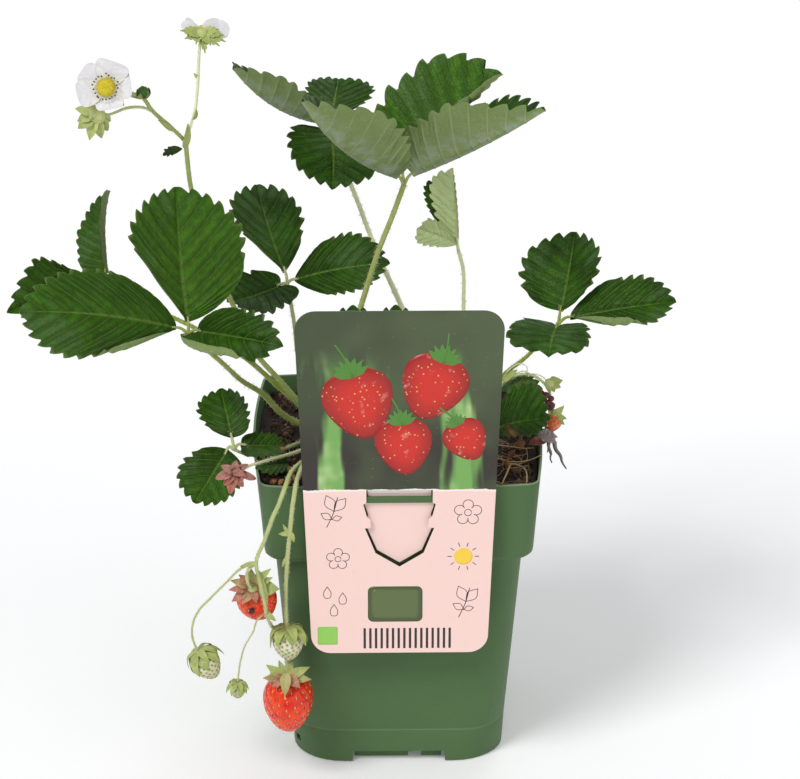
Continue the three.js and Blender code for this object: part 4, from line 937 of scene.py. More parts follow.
sprays = {  # base, tip, width and redness of each blade
    "sideCalyx": [
        ((-89.3, 4, 342.7), (-97, 1, 344.9), 5, 0), ((-89.3, 4, 341.7), (-95, 0, 341.4), 5, 0),
        ((-88.4, 4, 342.7), (-93.2, 1, 342.3), 4.6, 0), ((-88.9, 4, 341.7), (-90.1, -1, 339.1), 3.8, 0),
        ((-87.1, 4, 340.8), (-86.1, -1, 334.9), 3.8, 0), ((-87.1, 4, 341.7), (-83.4, -1, 338.6), 4.4, 0),
        ((-86.2, 4, 341.7), (-79.6, -1, 338.2), 5, 0), ((-85.7, 4, 342.2), (-76.9, 0, 339.9), 5, 0),
        ((-85.7, 4, 342.7), (-77.5, 1, 342.6), 4.6, 0), ((-86.1, 4, 342.7), (-79.8, 3, 344.8), 4.8, 0),
        ((-88.8, 4, 342.7), (-92.8, 3, 344.4), 4.4, 0)],
    "sidePetals": [
        ((-87.6, 6, 343.4), (-75.2, 7, 343.7), 8.4, 0), ((-87.6, 6, 344.4), (-79, 9, 346.3), 5.6, 0),
        ((-86.8, 6, 342.9), (-75.9, 9, 340.8), 5.4, 0), ((-88.4, 6, 343.4), (-96.9, 6, 346.3), 4.8, 0),
        ((-88.4, 6, 343), (-96.2, 5, 344.3), 4.4, 0), ((-90.2, 6, 344.4), (-94.7, 9, 348.1), 2.4, 0)],
    "spent": [
        ((-136.3, -26, 316.4), (-143.1, -27, 317.9), 4.6, 0),
        ((-136.4, -26, 314.5), (-142.4, -27, 311.9), 4.6, 0),
        ((-136, -26, 313.1), (-142.2, -28, 308.9), 5.6, 0),
        ((-134.6, -26, 312.6), (-137.3, -28, 303.5), 4.8, 0),
        ((-133.3, -26, 312.6), (-132.1, -25, 303.1), 4.6, 0.1),
        ((-132.4, -26, 313.6), (-129.2, -24, 306.3), 4.6, 0.1),
        ((-131.5, -26, 315), (-127.9, -24, 310.7), 3.6, 0.2),
        ((-135.4, -26, 316.9), (-137.2, -24, 319.2), 3.4, 0),
        ((-133.2, -26, 316.8), (-130.2, -23, 318.6), 3.6, 0)],
    "highCalyx": [
        ((-68.9, -77, 106.6), (-76.5, -79, 109.9), 4.2, 0.55),
        ((-69.4, -77, 105.1), (-77.5, -79.5, 105.4), 3.8, 0.85),
        ((-69.4, -77, 103.6), (-76.3, -79, 99.3), 4.2, 0.85),
        ((-67.6, -77, 103), (-71.7, -80, 98.5), 3.8, 0.6),
        ((-68, -77, 107.6), (-72.9, -78, 112.2), 3.8, 0.7),
        ((-66.6, -77, 108.1), (-68.1, -77, 115.9), 3.4, 0.35),
        ((-65.3, -77, 108.1), (-58.6, -78, 115.1), 3.8, 0.25),
        ((-64.4, -77, 106.6), (-57.9, -78.5, 111), 3.8, 0.25),
        ((-64, -77, 105), (-54.8, -79, 105.4), 7, 0),
        ((-66.2, -77, 107.1), (-63.4, -76, 113.1), 3.2, 0.6),
        ((-66.2, -77, 103.5), (-65.3, -80, 98.9), 3.4, 0.75)],
    "lowCalyx": [
        ((-53.3, -70, 55.7), (-61.3, -71, 62.5), 4.6, 0.1),
        ((-51.5, -70, 55.7), (-41.5, -71, 61.3), 4.6, 0.25),
        ((-53.8, -70, 55.2), (-62.7, -73, 56.8), 4.6, 0.45),
        ((-51, -70, 55.2), (-40.8, -73, 55.9), 4.6, 0.45),
        ((-52.2, -76, 60.9), (-52.8, -81, 51.7), 4.6, 0.4),
        ((-53.2, -74, 58.3), (-58.5, -78, 54.8), 5, 0.7),
        ((-51.4, -74, 58.3), (-45.9, -78, 54.2), 5, 0.7),
        ((-52.8, -70, 56.2), (-55.6, -67, 62.7), 3.4, 0.2),
        ((-51.9, -70, 56.2), (-49.1, -67, 62.7), 3.4, 0.2),
        ((-53.3, -70, 55.7), (-59.9, -61, 54.1), 4.8, 0.2),
        ((-51.5, -70, 55.7), (-43.7, -61, 54), 4.8, 0.2)],
    "withered": [
        ((-75.6, -65, 157.6), (-83, -67, 155.1), 5, 0.3),
        ((-75.1, -65, 158.6), (-80.4, -66, 161.3), 4.6, 0.1),
        ((-74.2, -65, 156.6), (-76.5, -69, 148.5), 5.6, 0.9),
        ((-73.3, -65, 156.6), (-70.6, -68, 151.5), 5, 0.7),
        ((-72, -65, 157.5), (-64.8, -65, 154), 4, 0.3),
        ((-72.4, -65, 158.5), (-68.3, -65, 161.2), 4.2, 0.1),
        ((-73.7, -65, 159), (-73.7, -64, 162.8), 4.4, 0),
        ((-74.7, -65, 156.6), (-79.2, -68, 152.3), 4.6, 0.7),
        ((-73.3, -65, 158), (-69.2, -69, 157.4), 4.6, 0.4)],
    "cup": [
        ((71, -13, 178.4), (76.2, -14, 179.6), 4.4, 0), ((71, -13, 177.9), (75.3, -15, 176.5), 4.2, 0),
        ((70.5, -13, 177.9), (72.5, -15, 174.2), 4, 0), ((70, -13, 177.9), (70.1, -14, 173.6), 3.4, 0),
        ((71, -13, 178.9), (73.8, -12, 180.2), 3.4, 0)],
    "star": [
        ((72, -15, 162.6), (77, -16, 167.6), 3.6, 0), ((72.5, -15, 162.1), (78.2, -17, 161.7), 3.6, 0),
        ((72.5, -15, 161.6), (77.3, -18, 159.1), 3.2, 0),
        ((71.6, -15, 161.6), (69.1, -19, 158.3), 3.8, 0), ((71.6, -15, 163.1), (70.2, -13, 165.8), 3, 0),
        ((72.1, -15, 161.6), (73.3, -19, 159.1), 3.6, 0)],
    "dried": [
        ((65, -19, 154.3), (74, -20, 153.7), 5.6, 0.1),
        ((66.4, -19, 154.3), (73.5, -22, 151.5), 5.4, 0.2),
        ((69.2, -19, 152.2), (60.5, -18, 149.3), 4.6, 0.75),
        ((72, -19, 150.7), (68.4, -16, 153.4), 4.2, 0.2)],
}


flowerValues = {
    "petals": (  # angle seen from the front, reach, width and lift, in degrees and millimetres
        (74, 11.8, 15.5, 20), (12, 10.6, 13, 6), (148, 12.6, 11.5, 4), (198, 12.6, 12.5, 16),
        (284, 9.2, 13, 8)),
    "stamens": 22,
    "stamenThick": 0.13,
}


def centreLook():
    look = Look("flower centre")
    part = look.read("tint").parts()[0]  # 0 dome, 1 filament, 2 anther
    cells = look.cells(look.place, 1.15)
    dome = look.mix(look.smooth(cells, 0.0, 0.6), (0.85, 0.72, 0.03), (0.62, 0.5, 0.015))
    color = look.mix(look.smooth(part, 0.2, 0.8), dome, (0.78, 0.76, 0.3))
    color = look.mix(look.smooth(part, 1.3, 1.6), color, (0.09, 0.045, 0.02))
    return look.done(Base_Color=color, Roughness=0.7, Normal=look.bump(cells * -1.0, 0.35))


# A ball squashed along its axis: at latitude t it is radius cos t wide and height sin t up, both times
# 1 + bumps cos 11a cos 24t, and it begins at the latitude -back.
def dome(shell, at, axis, radius, height, rows=22, columns=40, bumps=0.0, back=0.35, tint=(0, 0, 0),
         skin=(0, 0, 0)):
    axis = unit(axis)
    x, y = squareTo(axis)
    t = np.linspace(-back, np.pi / 2 - 0.02, rows)[:, None]
    a = np.linspace(0, 2 * np.pi, columns, endpoint=False)[None]
    ripple = 1 + bumps * np.cos(11 * a + 3 * np.floor(t * 6)) * np.cos(t * 24)
    out = radius * np.cos(t) * ripple
    rise = height * np.sin(t) * ripple
    points = np.asarray(at) + out[..., None] * (np.cos(a)[..., None] * x + np.sin(a)[..., None] * y)
    points = points + rise[..., None] * axis
    shell.add(points, np.broadcast_to(np.array(skin, float), points.shape), tint)


# A ring of thin stalks, each with a dark ball at its end.
def stamens(shell, at, axis, count, ring, length):
    axis = unit(axis)
    x, y = squareTo(axis)
    for k in range(count):
        a = 2 * np.pi * (k + rng.uniform(-0.3, 0.3)) / count
        out = math.cos(a) * x + math.sin(a) * y
        root = np.asarray(at) + out * ring
        end = root + (out * rng.uniform(0.35, 0.75) + axis * rng.uniform(0.5, 0.8)) * length
        middle = (root + end) / 2 + axis * 0.15
        tube(shell, [root, middle, end], flowerValues["stamenThick"], 5, 1.0, (1, 0, 0))
        dome(shell, end - axis * 0.2, axis + 0.4 * out, 0.42, 0.5, 6, 8, tint=(2, 0, 0), back=1.2)


centreMaterial = centreLook()
openAt, openFacing = np.array([-128.9, -30, 328.7]), unit((-0.12, -0.9, 0.36))
petalShape = dict(veins=6, teeth=0.0, plain=0.1, columns=17, perVein=4, wave=1.0, quilt=0.12, thick=0.18)
shell = Shell()
flowerRight = unit(np.cross((0, 0, 1), openFacing))
flowerUp = np.cross(openFacing, flowerRight)
for angle, reach, width, lift in flowerValues["petals"]:
    a, e = math.radians(angle), math.radians(lift)
    out = math.cos(a) * flowerRight + math.sin(a) * flowerUp
    along, base = out * math.cos(e) + openFacing * math.sin(e), openAt + out * 0.8
    face = openFacing * math.cos(e) - out * math.sin(e)
    leaflet(shell, base, base + along * reach, face, fold=-5, arch=-1.0, **even(width, 0.62, 0.27),
            **petalShape)
shell.make("open flower petals", petalMaterial, "petal", "open_flower_petals")
shell = Shell()
dome(shell, openAt + openFacing * 0.9, openFacing, 4.1, 3.4, bumps=0.04)
stamens(shell, openAt + openFacing * 0.6, openFacing, flowerValues["stamens"], 4.2, 2.5)
shell.make("open flower centre", centreMaterial, "flower_centre", "open_flower_centre")
shell = Shell()
ringOf(shell, openAt - openFacing * 1.6, openFacing, 5, 7.5, 4.4, -6, 0.6, 0.9, **sepalShape)
ringOf(shell, openAt - openFacing * 2.2, openFacing, 5, 6.5, 3.0, -12, 0.6, 1.5, **sepalShape)
dome(shell, openAt - openFacing * 0.6, -openFacing, 1.9, 1.8)
shell.make("open flower calyx", sepalMaterial, "calyx", "open_flower_calyx")

sideAt, sideUp = np.array([-87.6, 4, 342.4]), unit((0.1, 0.05, 1))
shell = Shell()
spray(shell, sprays["sidePetals"], (-0.1, -0.75, 0.65), shape=(0.55, 0.4), fold=-6, arch=0.6, **petalShape)
shell.make("side flower petals", petalMaterial, "petal", "side_flower_petals")
shell = Shell()
spray(shell, sprays["sideCalyx"], (0, -0.8, 0.6), **{**sepalShape, "teeth": 0.35, "veins": 4})
dome(shell, sideAt + sideUp * 0.3, -sideUp, 2.6, 3.2, bumps=0.04, back=0.6)
shell.make("side flower calyx", sepalMaterial, "calyx", "side_flower_calyx")
shell = Shell()
dome(shell, sideAt + (0, 3.5, 0.4), sideUp, 2.2, 2.4, bumps=0.05)
stamens(shell, sideAt + (0, 3.5, 0.2), sideUp, 12, 2.2, 1.6)
shell.make("side flower centre", centreMaterial, "flower_centre")

spentAt, spentAxis = np.array([-134.2, -25.4, 314.4]), unit((-0.35, -0.75, -0.2))
shell = Shell()
dome(shell, spentAt, spentAxis, 4.6, 3.4, bumps=0.1, back=1.3)
tube(shell, [(-129.4, -25.4, 314.1), (-131.5, -25.2, 314.3), (-134, -25, 314.4)], 0.9, 10, 0.8)
spray(shell, sprays["spent"], (-0.1, -0.9, 0.4), **{**sepalShape, "arch": 1.2, "fold": 14})
shell.make("spent flower sepals", sepalMaterial, "calyx", "spent_flower")
shell = Shell()
budAt, budUp = np.array([-113.4, -17, 321.8]), unit((0.1, -0.4, 1))
dome(shell, budAt, budUp, 2.8, 2.9, 26, 48, bumps=0.03, back=1.5, tint=(0.4, 3, 0), skin=(0.4, 0.5, 0))
shell.make("flower bud", leafMaterial, "calyx", "flower_bud")
shell = Shell()
ringOf(shell, budAt - budUp * 2.4, budUp, 5, 4.4, 3.0, 74, 1.2, 0.3, 0.04, (0.9, 0.5, 0.8),
       **{**sepalShape, "arch": -1.2})
shell.make("flower bud sepals", sepalMaterial, "calyx")
shell = Shell()
for base, tip, width, face in (
        ((-96.5, 1, 289), (-94.5, 0, 301), 4.0, (0.6, -0.8, 0)),
        ((-92.5, 2, 302), (-90.5, 1, 307.5), 2.4, (0.7, -0.7, 0)),
        ((-114, -14, 318.2), (-121.5, -18, 321.2), 2.6, (0, -0.7, 0.7)),
        ((-123.8, -26.5, 325), (-121.6, -27.5, 319.2), 3.0, (-0.3, -0.9, 0.2)),
        ((-89.6, 3.2, 322), (-91.5, 3, 324), 1.6, (0, -1, 0)),
        ((-101.5, -2, 298.5), (-107.5, -6, 305), 2.2, (0.3, -0.9, 0.2)),
        ((-65, -79, 118.5), (-72.2, -81, 118), 2.4, (0.1, -0.8, 0.6)),
        ((-64.3, -79.8, 113), (-60, -82, 100), 3.4, (0.4, -0.9, 0)),
        ((-61, -81, 95), (-56.5, -80.5, 90), 2.4, (0.2, -1, 0.2)),
        ((-49.8, -72, 130), (-54.8, -72.5, 130), 2.2, (-0.2, -0.9, 0.3)),
        ((-49.8, -72.2, 130), (-52.8, -72, 134.4), 1.8, (-0.2, -0.9, 0.3)),
        ((-49.6, -72.2, 131), (-47.8, -72.8, 126), 2.2, (0.2, -0.9, 0.3)),
        ((-50.8, -71.5, 118.5), (-53.5, -72, 113), 1.8, (-0.2, -0.9, 0.3)),
        ((49, -6, 176), (55.5, -7.5, 182.4), 3.6, (-0.4, -0.8, 0.4))):
    leaflet(shell, base, tip, face, tone=0.1, **even(width, 0.5, 0.85), **sepalShape)
shell.make("bracts", sepalMaterial, "stalk")
print("flowers")


fruitValues = {
    "red": (0.66, 0.008, 0.002),
    "glow": (0.92, 0.055, 0.004),
    "orange": (0.78, 0.15, 0.05),
    "orangeGlow": (0.8, 0.24, 0.1),
    "green": (0.62, 0.62, 0.34),
    "greenGlow": (0.78, 0.76, 0.55),
    # the middle of a hole, painted dark as shade on the skin
    "hole": (-67.3, -76.0, 93.9),
    "lump": 0.02,
}
goldenAngle = 2.399963


# A berry: at the angle f from its shoulder it is radius sin f (1 + neck cos f) / (1 + 0.18 neck) wide,
# with slight lumps, and length (1 - cos f) / 2 deep, drawn in by a bell-shaped dimple round each seed.
# Seeds lie on a spiral that turns by the golden angle and spreads evenly over the skin.
def berry(shell, seedShell, at, axis, radius, length, seeds, dimple, seedSize, neck):
    at, axis = np.asarray(at, float), unit(axis)
    x, y = squareTo(axis)
    lump = fruitValues["lump"]

    def skin(f, a):
        wobble = 1 + lump * np.sin(2 * a + 1.3) * np.sin(f) + lump * np.cos(3 * a + 2 * f)
        out = radius * np.sin(f) * (1 + neck * np.cos(f)) / (1 + 0.18 * neck) * wobble
        deep = length * (1 - np.cos(f)) / 2
        return out[..., None] * (np.cos(a)[..., None] * x + np.sin(a)[..., None] * y) + deep[..., None] * axis

    def outward(f, a):
        e = 0.01
        down, across = skin(f + e, a) - skin(f - e, a), skin(f, a + e) - skin(f, a - e)
        return unit(np.cross(down, across) + 1e-9)

    k = np.arange(seeds)
    seedF = np.arccos(1 - 2 * (k + 0.5) / seeds * 0.97)
    seedA = k * goldenAngle + 0.06 * np.sin(k * 1.7)
    centres = skin(seedF, seedA)
    turns = np.linspace(0, 2 * np.pi, 150, endpoint=False)
    f, a = np.meshgrid(np.linspace(0.02, np.pi - 0.03, 96), turns, indexing="ij")
    points = skin(f, a)
    flat = points.reshape(-1, 3)
    near = np.min(np.linalg.norm(flat[:, None] - centres[None], axis=-1), axis=1).reshape(f.shape)
    size = 0.085 * (radius + length / 2)
    sink = dimple * (np.exp(-(near / (size * 0.62)) ** 2) - 0.25 * np.exp(-((near - 1.5 * size) / size) ** 2))
    n = outward(f, a)
    points = points - np.sign(np.sum(n * points, axis=-1, keepdims=True)) * n * sink[..., None]
    shell.add(points + at, np.stack([f / np.pi, near, sink], axis=-1))
    n = outward(seedF, seedA)
    n = n * np.sign(np.sum(n * (centres - length * 0.45 * axis), axis=-1, keepdims=True))
    down = unit(axis - np.sum(n * axis, axis=-1, keepdims=True) * n)
    across = np.cross(n, down)
    turns = np.linspace(0, 2 * np.pi, 8, endpoint=False)
    u, v = np.meshgrid(np.linspace(0.15, np.pi - 0.1, 7), turns, indexing="ij")
    s = seedSize * size / 1.3
    shape = (-0.62 * np.cos(u) * s, 0.36 * np.sin(u) * (1 - 0.3 * np.cos(u)) * np.cos(v) * s,
             0.3 * np.sin(u) * np.sin(v) * s)
    sunk = centres - n * dimple * 0.72
    ways = (-down, across, n)
    body = sum(part[None, ..., None] * way[:, None, None] for part, way in zip(shape, ways))
    seedShell.add(sunk[:, None, None] + body + at)


def berryLook(name, red, glow, rough, coat):
    look = Look(name)
    f, near, _ = look.read("at").parts()
    cloud = look.noise(look.place, 0.16, 3.0)
    fine = look.noise(look.place, 1.4, 3.0)
    color = look.mix(look.smooth(cloud, 0.3, 0.7), red, glow)
    # Painted shade: darker red in the dimple round each seed.
    color = look.mix(look.smooth(near, 0.2, 1.3, 0.6, 0.0), color, scaled(red, 0.4))
    # A hole drawn as a near-black patch on the unbroken skin: painted shade inside the hole.
    away = look.distance(fruitValues["hole"])
    color = look.mix(look.smooth(away + cloud * 1.5, 2.8, 3.4, 1.0, 0.0), color, (0.03, 0.003, 0.001))
    color = look.mix(look.smooth(f, 0.0, 0.25, 0.45, 0.0), color, (0.75, 0.3, 0.12))
    normal = look.bump(fine, 0.12, 0.7)
    return look.done(Base_Color=color, Roughness=rough + 0.12 * fine, Normal=normal, Coat_Weight=coat,
                     Coat_Roughness=0.05, Specular_IOR_Level=0.25)


def seedLook(name, pale, dark):
    look = Look(name)
    color = look.mix(look.smooth(look.noise(look.place, 0.7, 2.0), 0.4, 0.6), pale, dark)
    return look.done(Base_Color=color, Roughness=0.35)


redMaterial = berryLook("ripe skin", fruitValues["red"], fruitValues["glow"], 0.2, 0.45)
orangeMaterial = berryLook("half ripe skin", fruitValues["orange"], fruitValues["orangeGlow"], 0.4, 0.2)
greenMaterial = berryLook("unripe skin", fruitValues["green"], fruitValues["greenGlow"], 0.5, 0.05)
goldSeed = seedLook("ripe seeds", (0.68, 0.36, 0.06), (0.5, 0.06, 0.01))
darkSeed = seedLook("unripe seeds", (0.35, 0.3, 0.1), (0.08, 0.06, 0.03))
ripe = (redMaterial, "berry", goldSeed, 0.85)
unripe = (greenMaterial, "green_fruit", darkSeed, 0.75)
fruits = {  # shoulder, axis, radius, length, seeds, dimple depth, neck, then skin, slot, seeds and their size
    "low_berry": ((-51.5, -68, 56.2), (0, -0.08, -1), 11.7, 28.6, 130, 0.6, 0.2, ripe),
    "high_berry": ((-66.5, -73.9, 101.3), (0.15, 0.62, -0.78), 9.4, 21, 110, 0.4, 0.28, ripe),
    "front_green_fruit": ((-51.5, -70, 80.4), (0.06, -0.15, -1), 7.2, 14.8, 120, 0.2, 0.28, unripe),
    "left_green_fruit": ((-92.0, -73.8, 70.0), (0.5, 0, -0.8), 6.8, 14.2, 120, 0.2, 0.28, unripe),
    "small_green_fruit": ((-74.5, -77, 56), (0, 0, -1), 3.6, 7.4, 60, 0.12, 0.28, unripe),
    "orange_berry": ((72.6, -15, 162.8), (-0.25, 0, -1), 4.6, 8.6, 60, 0.18, 0.28,
                     (orangeMaterial, "orange_berry", goldSeed, 0.85)),
}
for name, (at, axis, radius, length, seeds, dimple, neck, kind) in fruits.items():
    material, slot, seedMaterial, seedSize = kind
    shell, seedShell = Shell(), Shell()
    berry(shell, seedShell, at, axis, radius, length, seeds, dimple, seedSize, neck)
    shell.make(name + " skin", material, slot, name)
    seedShell.make(name + " seeds", seedMaterial, slot)

for name, blades in (("low_berry_calyx", sprays["lowCalyx"]), ("high_berry_calyx", sprays["highCalyx"])):
    shell = Shell()
    spray(shell, blades, (0, -0.85, 0.5), **{**sepalShape, "arch": 1.3, "fold": 12})
    middle = np.mean([blade[0] for blade in blades], axis=0)
    dome(shell, middle + (0, 1, -1.2), (0, -0.3, 1), 2.6, 2.0, back=0.6, tint=(0, 0, 0.3))
    shell.make(name + " sepals", sepalMaterial, "calyx", name)

shell = Shell()  # the caps of the unripe fruits hug their shoulders
caps = (((-51.5, -70, 81.2), (0.06, -0.15, -1), 1.0), ((-92.3, -73.8, 70.9), (0.5, 0, -0.8), 0.97),
        ((-74.5, -77, 56.5), (0, 0, -1), 0.56))
for at, axis, size in caps:
    cap = {**sepalShape, "arch": -2.4 * size, "fold": -14, "shape": (0.5, 0.8)}
    behind, ahead = np.array(at) - unit(axis) * 0.3, np.array(at) + unit(axis) * 0.6
    ringOf(shell, at, axis, 8, 11.2 * size, 5.6 * size, 45, 0.4, 0.2, 0.08, (0, 0.2), **cap)
    ringOf(shell, behind, axis, 7, 9.2 * size, 4.4 * size, 36, 0.4, 0.7, 0.12, (0, 0.25), **cap)
    dome(shell, ahead, -unit(axis), 2.8 * size, 1.6 * size)
shell.make("unripe fruit caps", sepalMaterial, "calyx")
shell = Shell()  # the loose cap and the star over the right-hand berry
spray(shell, sprays["cup"], (0.1, -0.9, 0.3), **{**sepalShape, "arch": 1.0})
spray(shell, sprays["star"], (0.3, -0.9, 0.3), **{**sepalShape, "arch": 0.9})
dome(shell, (70.6, -12.6, 177.6), (0.3, -0.3, -1), 2.4, 3.0, bumps=0.05, back=0.8)
dome(shell, (72.3, -14.6, 162), (0.1, -0.3, 1), 2.2, 1.6, back=0.6)
shell.make("right fruit caps", sepalMaterial, "calyx")

witheredMaterial = smallLook("withered skin", (0.52, 0.3, 0.22), (0.5, 0.17, 0.15),
                             (0.62, 0.42, 0.34), 0.7, 0.3)
driedMaterial = smallLook("dried skin", (0.6, 0.5, 0.48), (0.36, 0.26, 0.25), (0.12, 0.07, 0.07), 0.85, 0.6)
shell = Shell()
witheredRoute = fromKnob(leftKnob, (-0.62, -0.72, 0.32), [
    (-44, -34, 154.5), (-53.5, -48, 157.4), (-62, -58, 159.4), (-67.4, -62, 159.4), (-73, -64.6, 158)])
spray(shell, sprays["withered"], (-0.1, -0.9, 0.4), (0.4, 0.7),
      **{**sepalShape, "wave": 3.4, "arch": 2.2, "fold": 42})
dome(shell, (-73.5, -64.6, 157.8), (-0.4, -0.8, 0.1), 2.6, 2.4, bumps=0.12, back=1.2)
shell.make("withered sepals", witheredMaterial, "withered", "withered_flower")
shell = Shell()
path = tube(shell, witheredRoute, 0.85, 12, 1.2, (0.7, 0.7, 0), (1.1, 0.7))
fuzz(path, 0.85, 1.3, 0.6)
shell.make("withered stalk", stalkMaterial, "withered")

shell = Shell()  # dry remains: crumpled blades, shreds and dark fruitlets
spray(shell, sprays["dried"], (0.1, -0.8, 0.6), **{**sepalShape, "wave": 3.2, "arch": 1.5, "fold": 22})
for radius, tone, route in (
        (0.75, 0.45, [
            (70.2, -19, 151.2), (69.9, -21, 148.8), (71, -22, 145.9), (70.6, -23, 144), (71.4, -24, 142.3)]),
        (0.8, 0.5, [
            (72.5, -19, 150.8), (73.2, -20.5, 147.6), (75.4, -22, 144.9), (76, -23, 142.6),
            (78.1, -25, 139.6)]),
        (0.5, 0.3, [(69.6, -19, 151), (69.8, -21, 148.6), (69.2, -22, 146.5)])):
    tube(shell, route, radius, 7, 0.9, (tone, 0, 0.1), (1.3, 0.35), ridges=0.3)
shell.make("dried remains", driedMaterial, "dried", "dried_flower")
shell = Shell()
for at, size in (
        ((66.1, -14, 173.4), 1.7), ((68.6, -15, 172.6), 1.7), ((71, -15, 171), 1.4),
        ((69.6, -15, 169), 1.5), ((71.3, -15, 167.6), 1.6), ((70.6, -14.6, 166), 1.2)):
    dome(shell, at, (0.1, -0.3, 1), size, 0.9 * size, bumps=0.15, back=1.4)
fruitletMaterial = smallLook("dark fruitlets", (0.12, 0.012, 0.02), (0.03, 0.006, 0.008),
                             (0.2, 0.05, 0.04), 0.4)
shell.make("dark fruitlets", fruitletMaterial, "dried")
print("fruit")


shell = Shell()
for knob in (leftKnob, rightKnob):
    dome(shell, knob + [0, 0, 0.4], (0, 0, 1), 8.6, 7.6, 24, 48, bumps=0.05, back=0.05)
    ringOf(shell, knob + [0, 0, 0.8], (0, 0, 1), 8, 9.5, 8, 62, 7.4, 0.2, 0.15, (0, 0.3),
           **{**sepalShape, "arch": -1.5, "fold": -14})
    ringOf(shell, knob + [0, 0, 3.0], (0, 0, 1), 6, 7.5, 7, 58, 5.0, 0.5, 0.15, (0, 0.3),
           **{**sepalShape, "arch": -1.2, "fold": -14})
bridge = [leftKnob + [4, 1, 1.6], leftKnob * 0.5 + rightKnob * 0.5 + [0, 0, 1.8], rightKnob + [-4, -1, 1.6]]
tube(shell, bridge, 3.0, 16, 1.5, ridges=0.12)
crownMaterial = smallLook("crown scales", (0.16, 0.1, 0.05), (0.3, 0.22, 0.08), (0.35, 0.3, 0.15), 0.8, 0.5)
shell.make("crown scales", crownMaterial, "crown", "crown")
hairShell.make("stalk hairs", hairLook(), "stalk")
print("crown")


labelValues = {
    "front": -70.2,
    "tongueFront": -67.8,
    "thickness": 0.4,
    "bevel": 0.06,
    "topZ": 237.7,
    "bottomZ": 68.0,
    "topHalf": 46.7,
    "bottomHalf": 40.3,
    "topCorner": 9.3,
    "bottomCorner": 8.7,
    "pink": (0.93, 0.66, 0.6),
    "olive": (0.038, 0.06, 0.019),
    "panelZ": 150.4,
    "ink": (0.02, 0.02, 0.018),
    "berry": (0.62, 0.02, 0.01),
    "leaf": (0.08, 0.24, 0.03),
    "berries": ((-18, 193, 15.5, 0.25), (15, 201, 14.5, -0.35), (2, 172, 12.5, 0.1), (30, 175, 9.5, 0.5)),
    "sun": (29, 117),
}


# A flat plate from outlines in x and z, the first the edge and the rest holes, filled by a flat curve.
def flatPlate(name, outlines, front, nodes=()):
    thickness, bevel = labelValues["thickness"], labelValues["bevel"]
    curve = bpy.data.curves.new(name, "CURVE")
    curve.dimensions, curve.fill_mode = "2D", "BOTH"
    curve.extrude, curve.bevel_depth, curve.bevel_resolution = thickness / 2 - bevel, bevel, 1
    curve.offset = -bevel
    for outline in outlines:
        line = curve.splines.new("POLY")
        line.points.add(len(outline) - 1)
        corners = np.column_stack([outline, np.zeros(len(outline)), np.ones(len(outline))])
        line.points.foreach_set("co", corners.ravel())
        line.use_cyclic_u = True
    holder = bpy.data.objects.new(name, curve)
    bpy.context.scene.collection.objects.link(holder)
    mesh = bpy.data.meshes.new_from_object(holder.evaluated_get(bpy.context.evaluated_depsgraph_get()))
    bpy.data.objects.remove(holder)
    flat = np.empty(len(mesh.vertices) * 3)
    mesh.vertices.foreach_get("co", flat)
    x, z, depth = flat.reshape(-1, 3).T
    solid = np.column_stack([x, front + thickness / 2 - depth, z]) / 1000
    mesh.vertices.foreach_set("co", solid.ravel())
    if signedVolume(mesh, solid) < 0:
        mesh.flip_normals()
    mesh.materials.clear()
    mesh.materials.append(labelMaterial)
    mesh.shade_smooth()
    mesh.set_sharp_from_angle(angle=math.radians(30))
    return place(bpy.data.objects.new(name, mesh), "label", nodes)


def signedVolume(mesh, points):
    mesh.calc_loop_triangles()
    index = np.empty(len(mesh.loop_triangles) * 3, int)
    mesh.loop_triangles.foreach_get("vertices", index)
    a, b, c = (points[index.reshape(-1, 3)[:, k]] for k in range(3))
    return np.sum(a * np.cross(b, c))


# The card's edge: straight sides that lean out towards the top, with round corners.
def cardEdge():
    v = labelValues
    t = np.linspace(0, np.pi / 2, 9)
    low, high = v["bottomCorner"], v["topCorner"]
    right = []
    for k, a in enumerate(t):  # the lower corner swells a little, to meet the leaning side
        x = v["bottomHalf"] - low + (low + 0.3 * k / 8) * math.sin(a)
        right.append((x, v["bottomZ"] + low * (1 - math.cos(a))))
    for a in t:
        right.append((v["topHalf"] - high + high * math.cos(a), v["topZ"] - high * (1 - math.sin(a))))
    return np.array(right + [(-x, z) for x, z in right[::-1]])


# An outline from its right half, whose first and last points lie close to the middle line.
def mirrored(half):
    half = np.array(half, float)
    return np.concatenate([half, (half * [-1, 1])[::-1]])


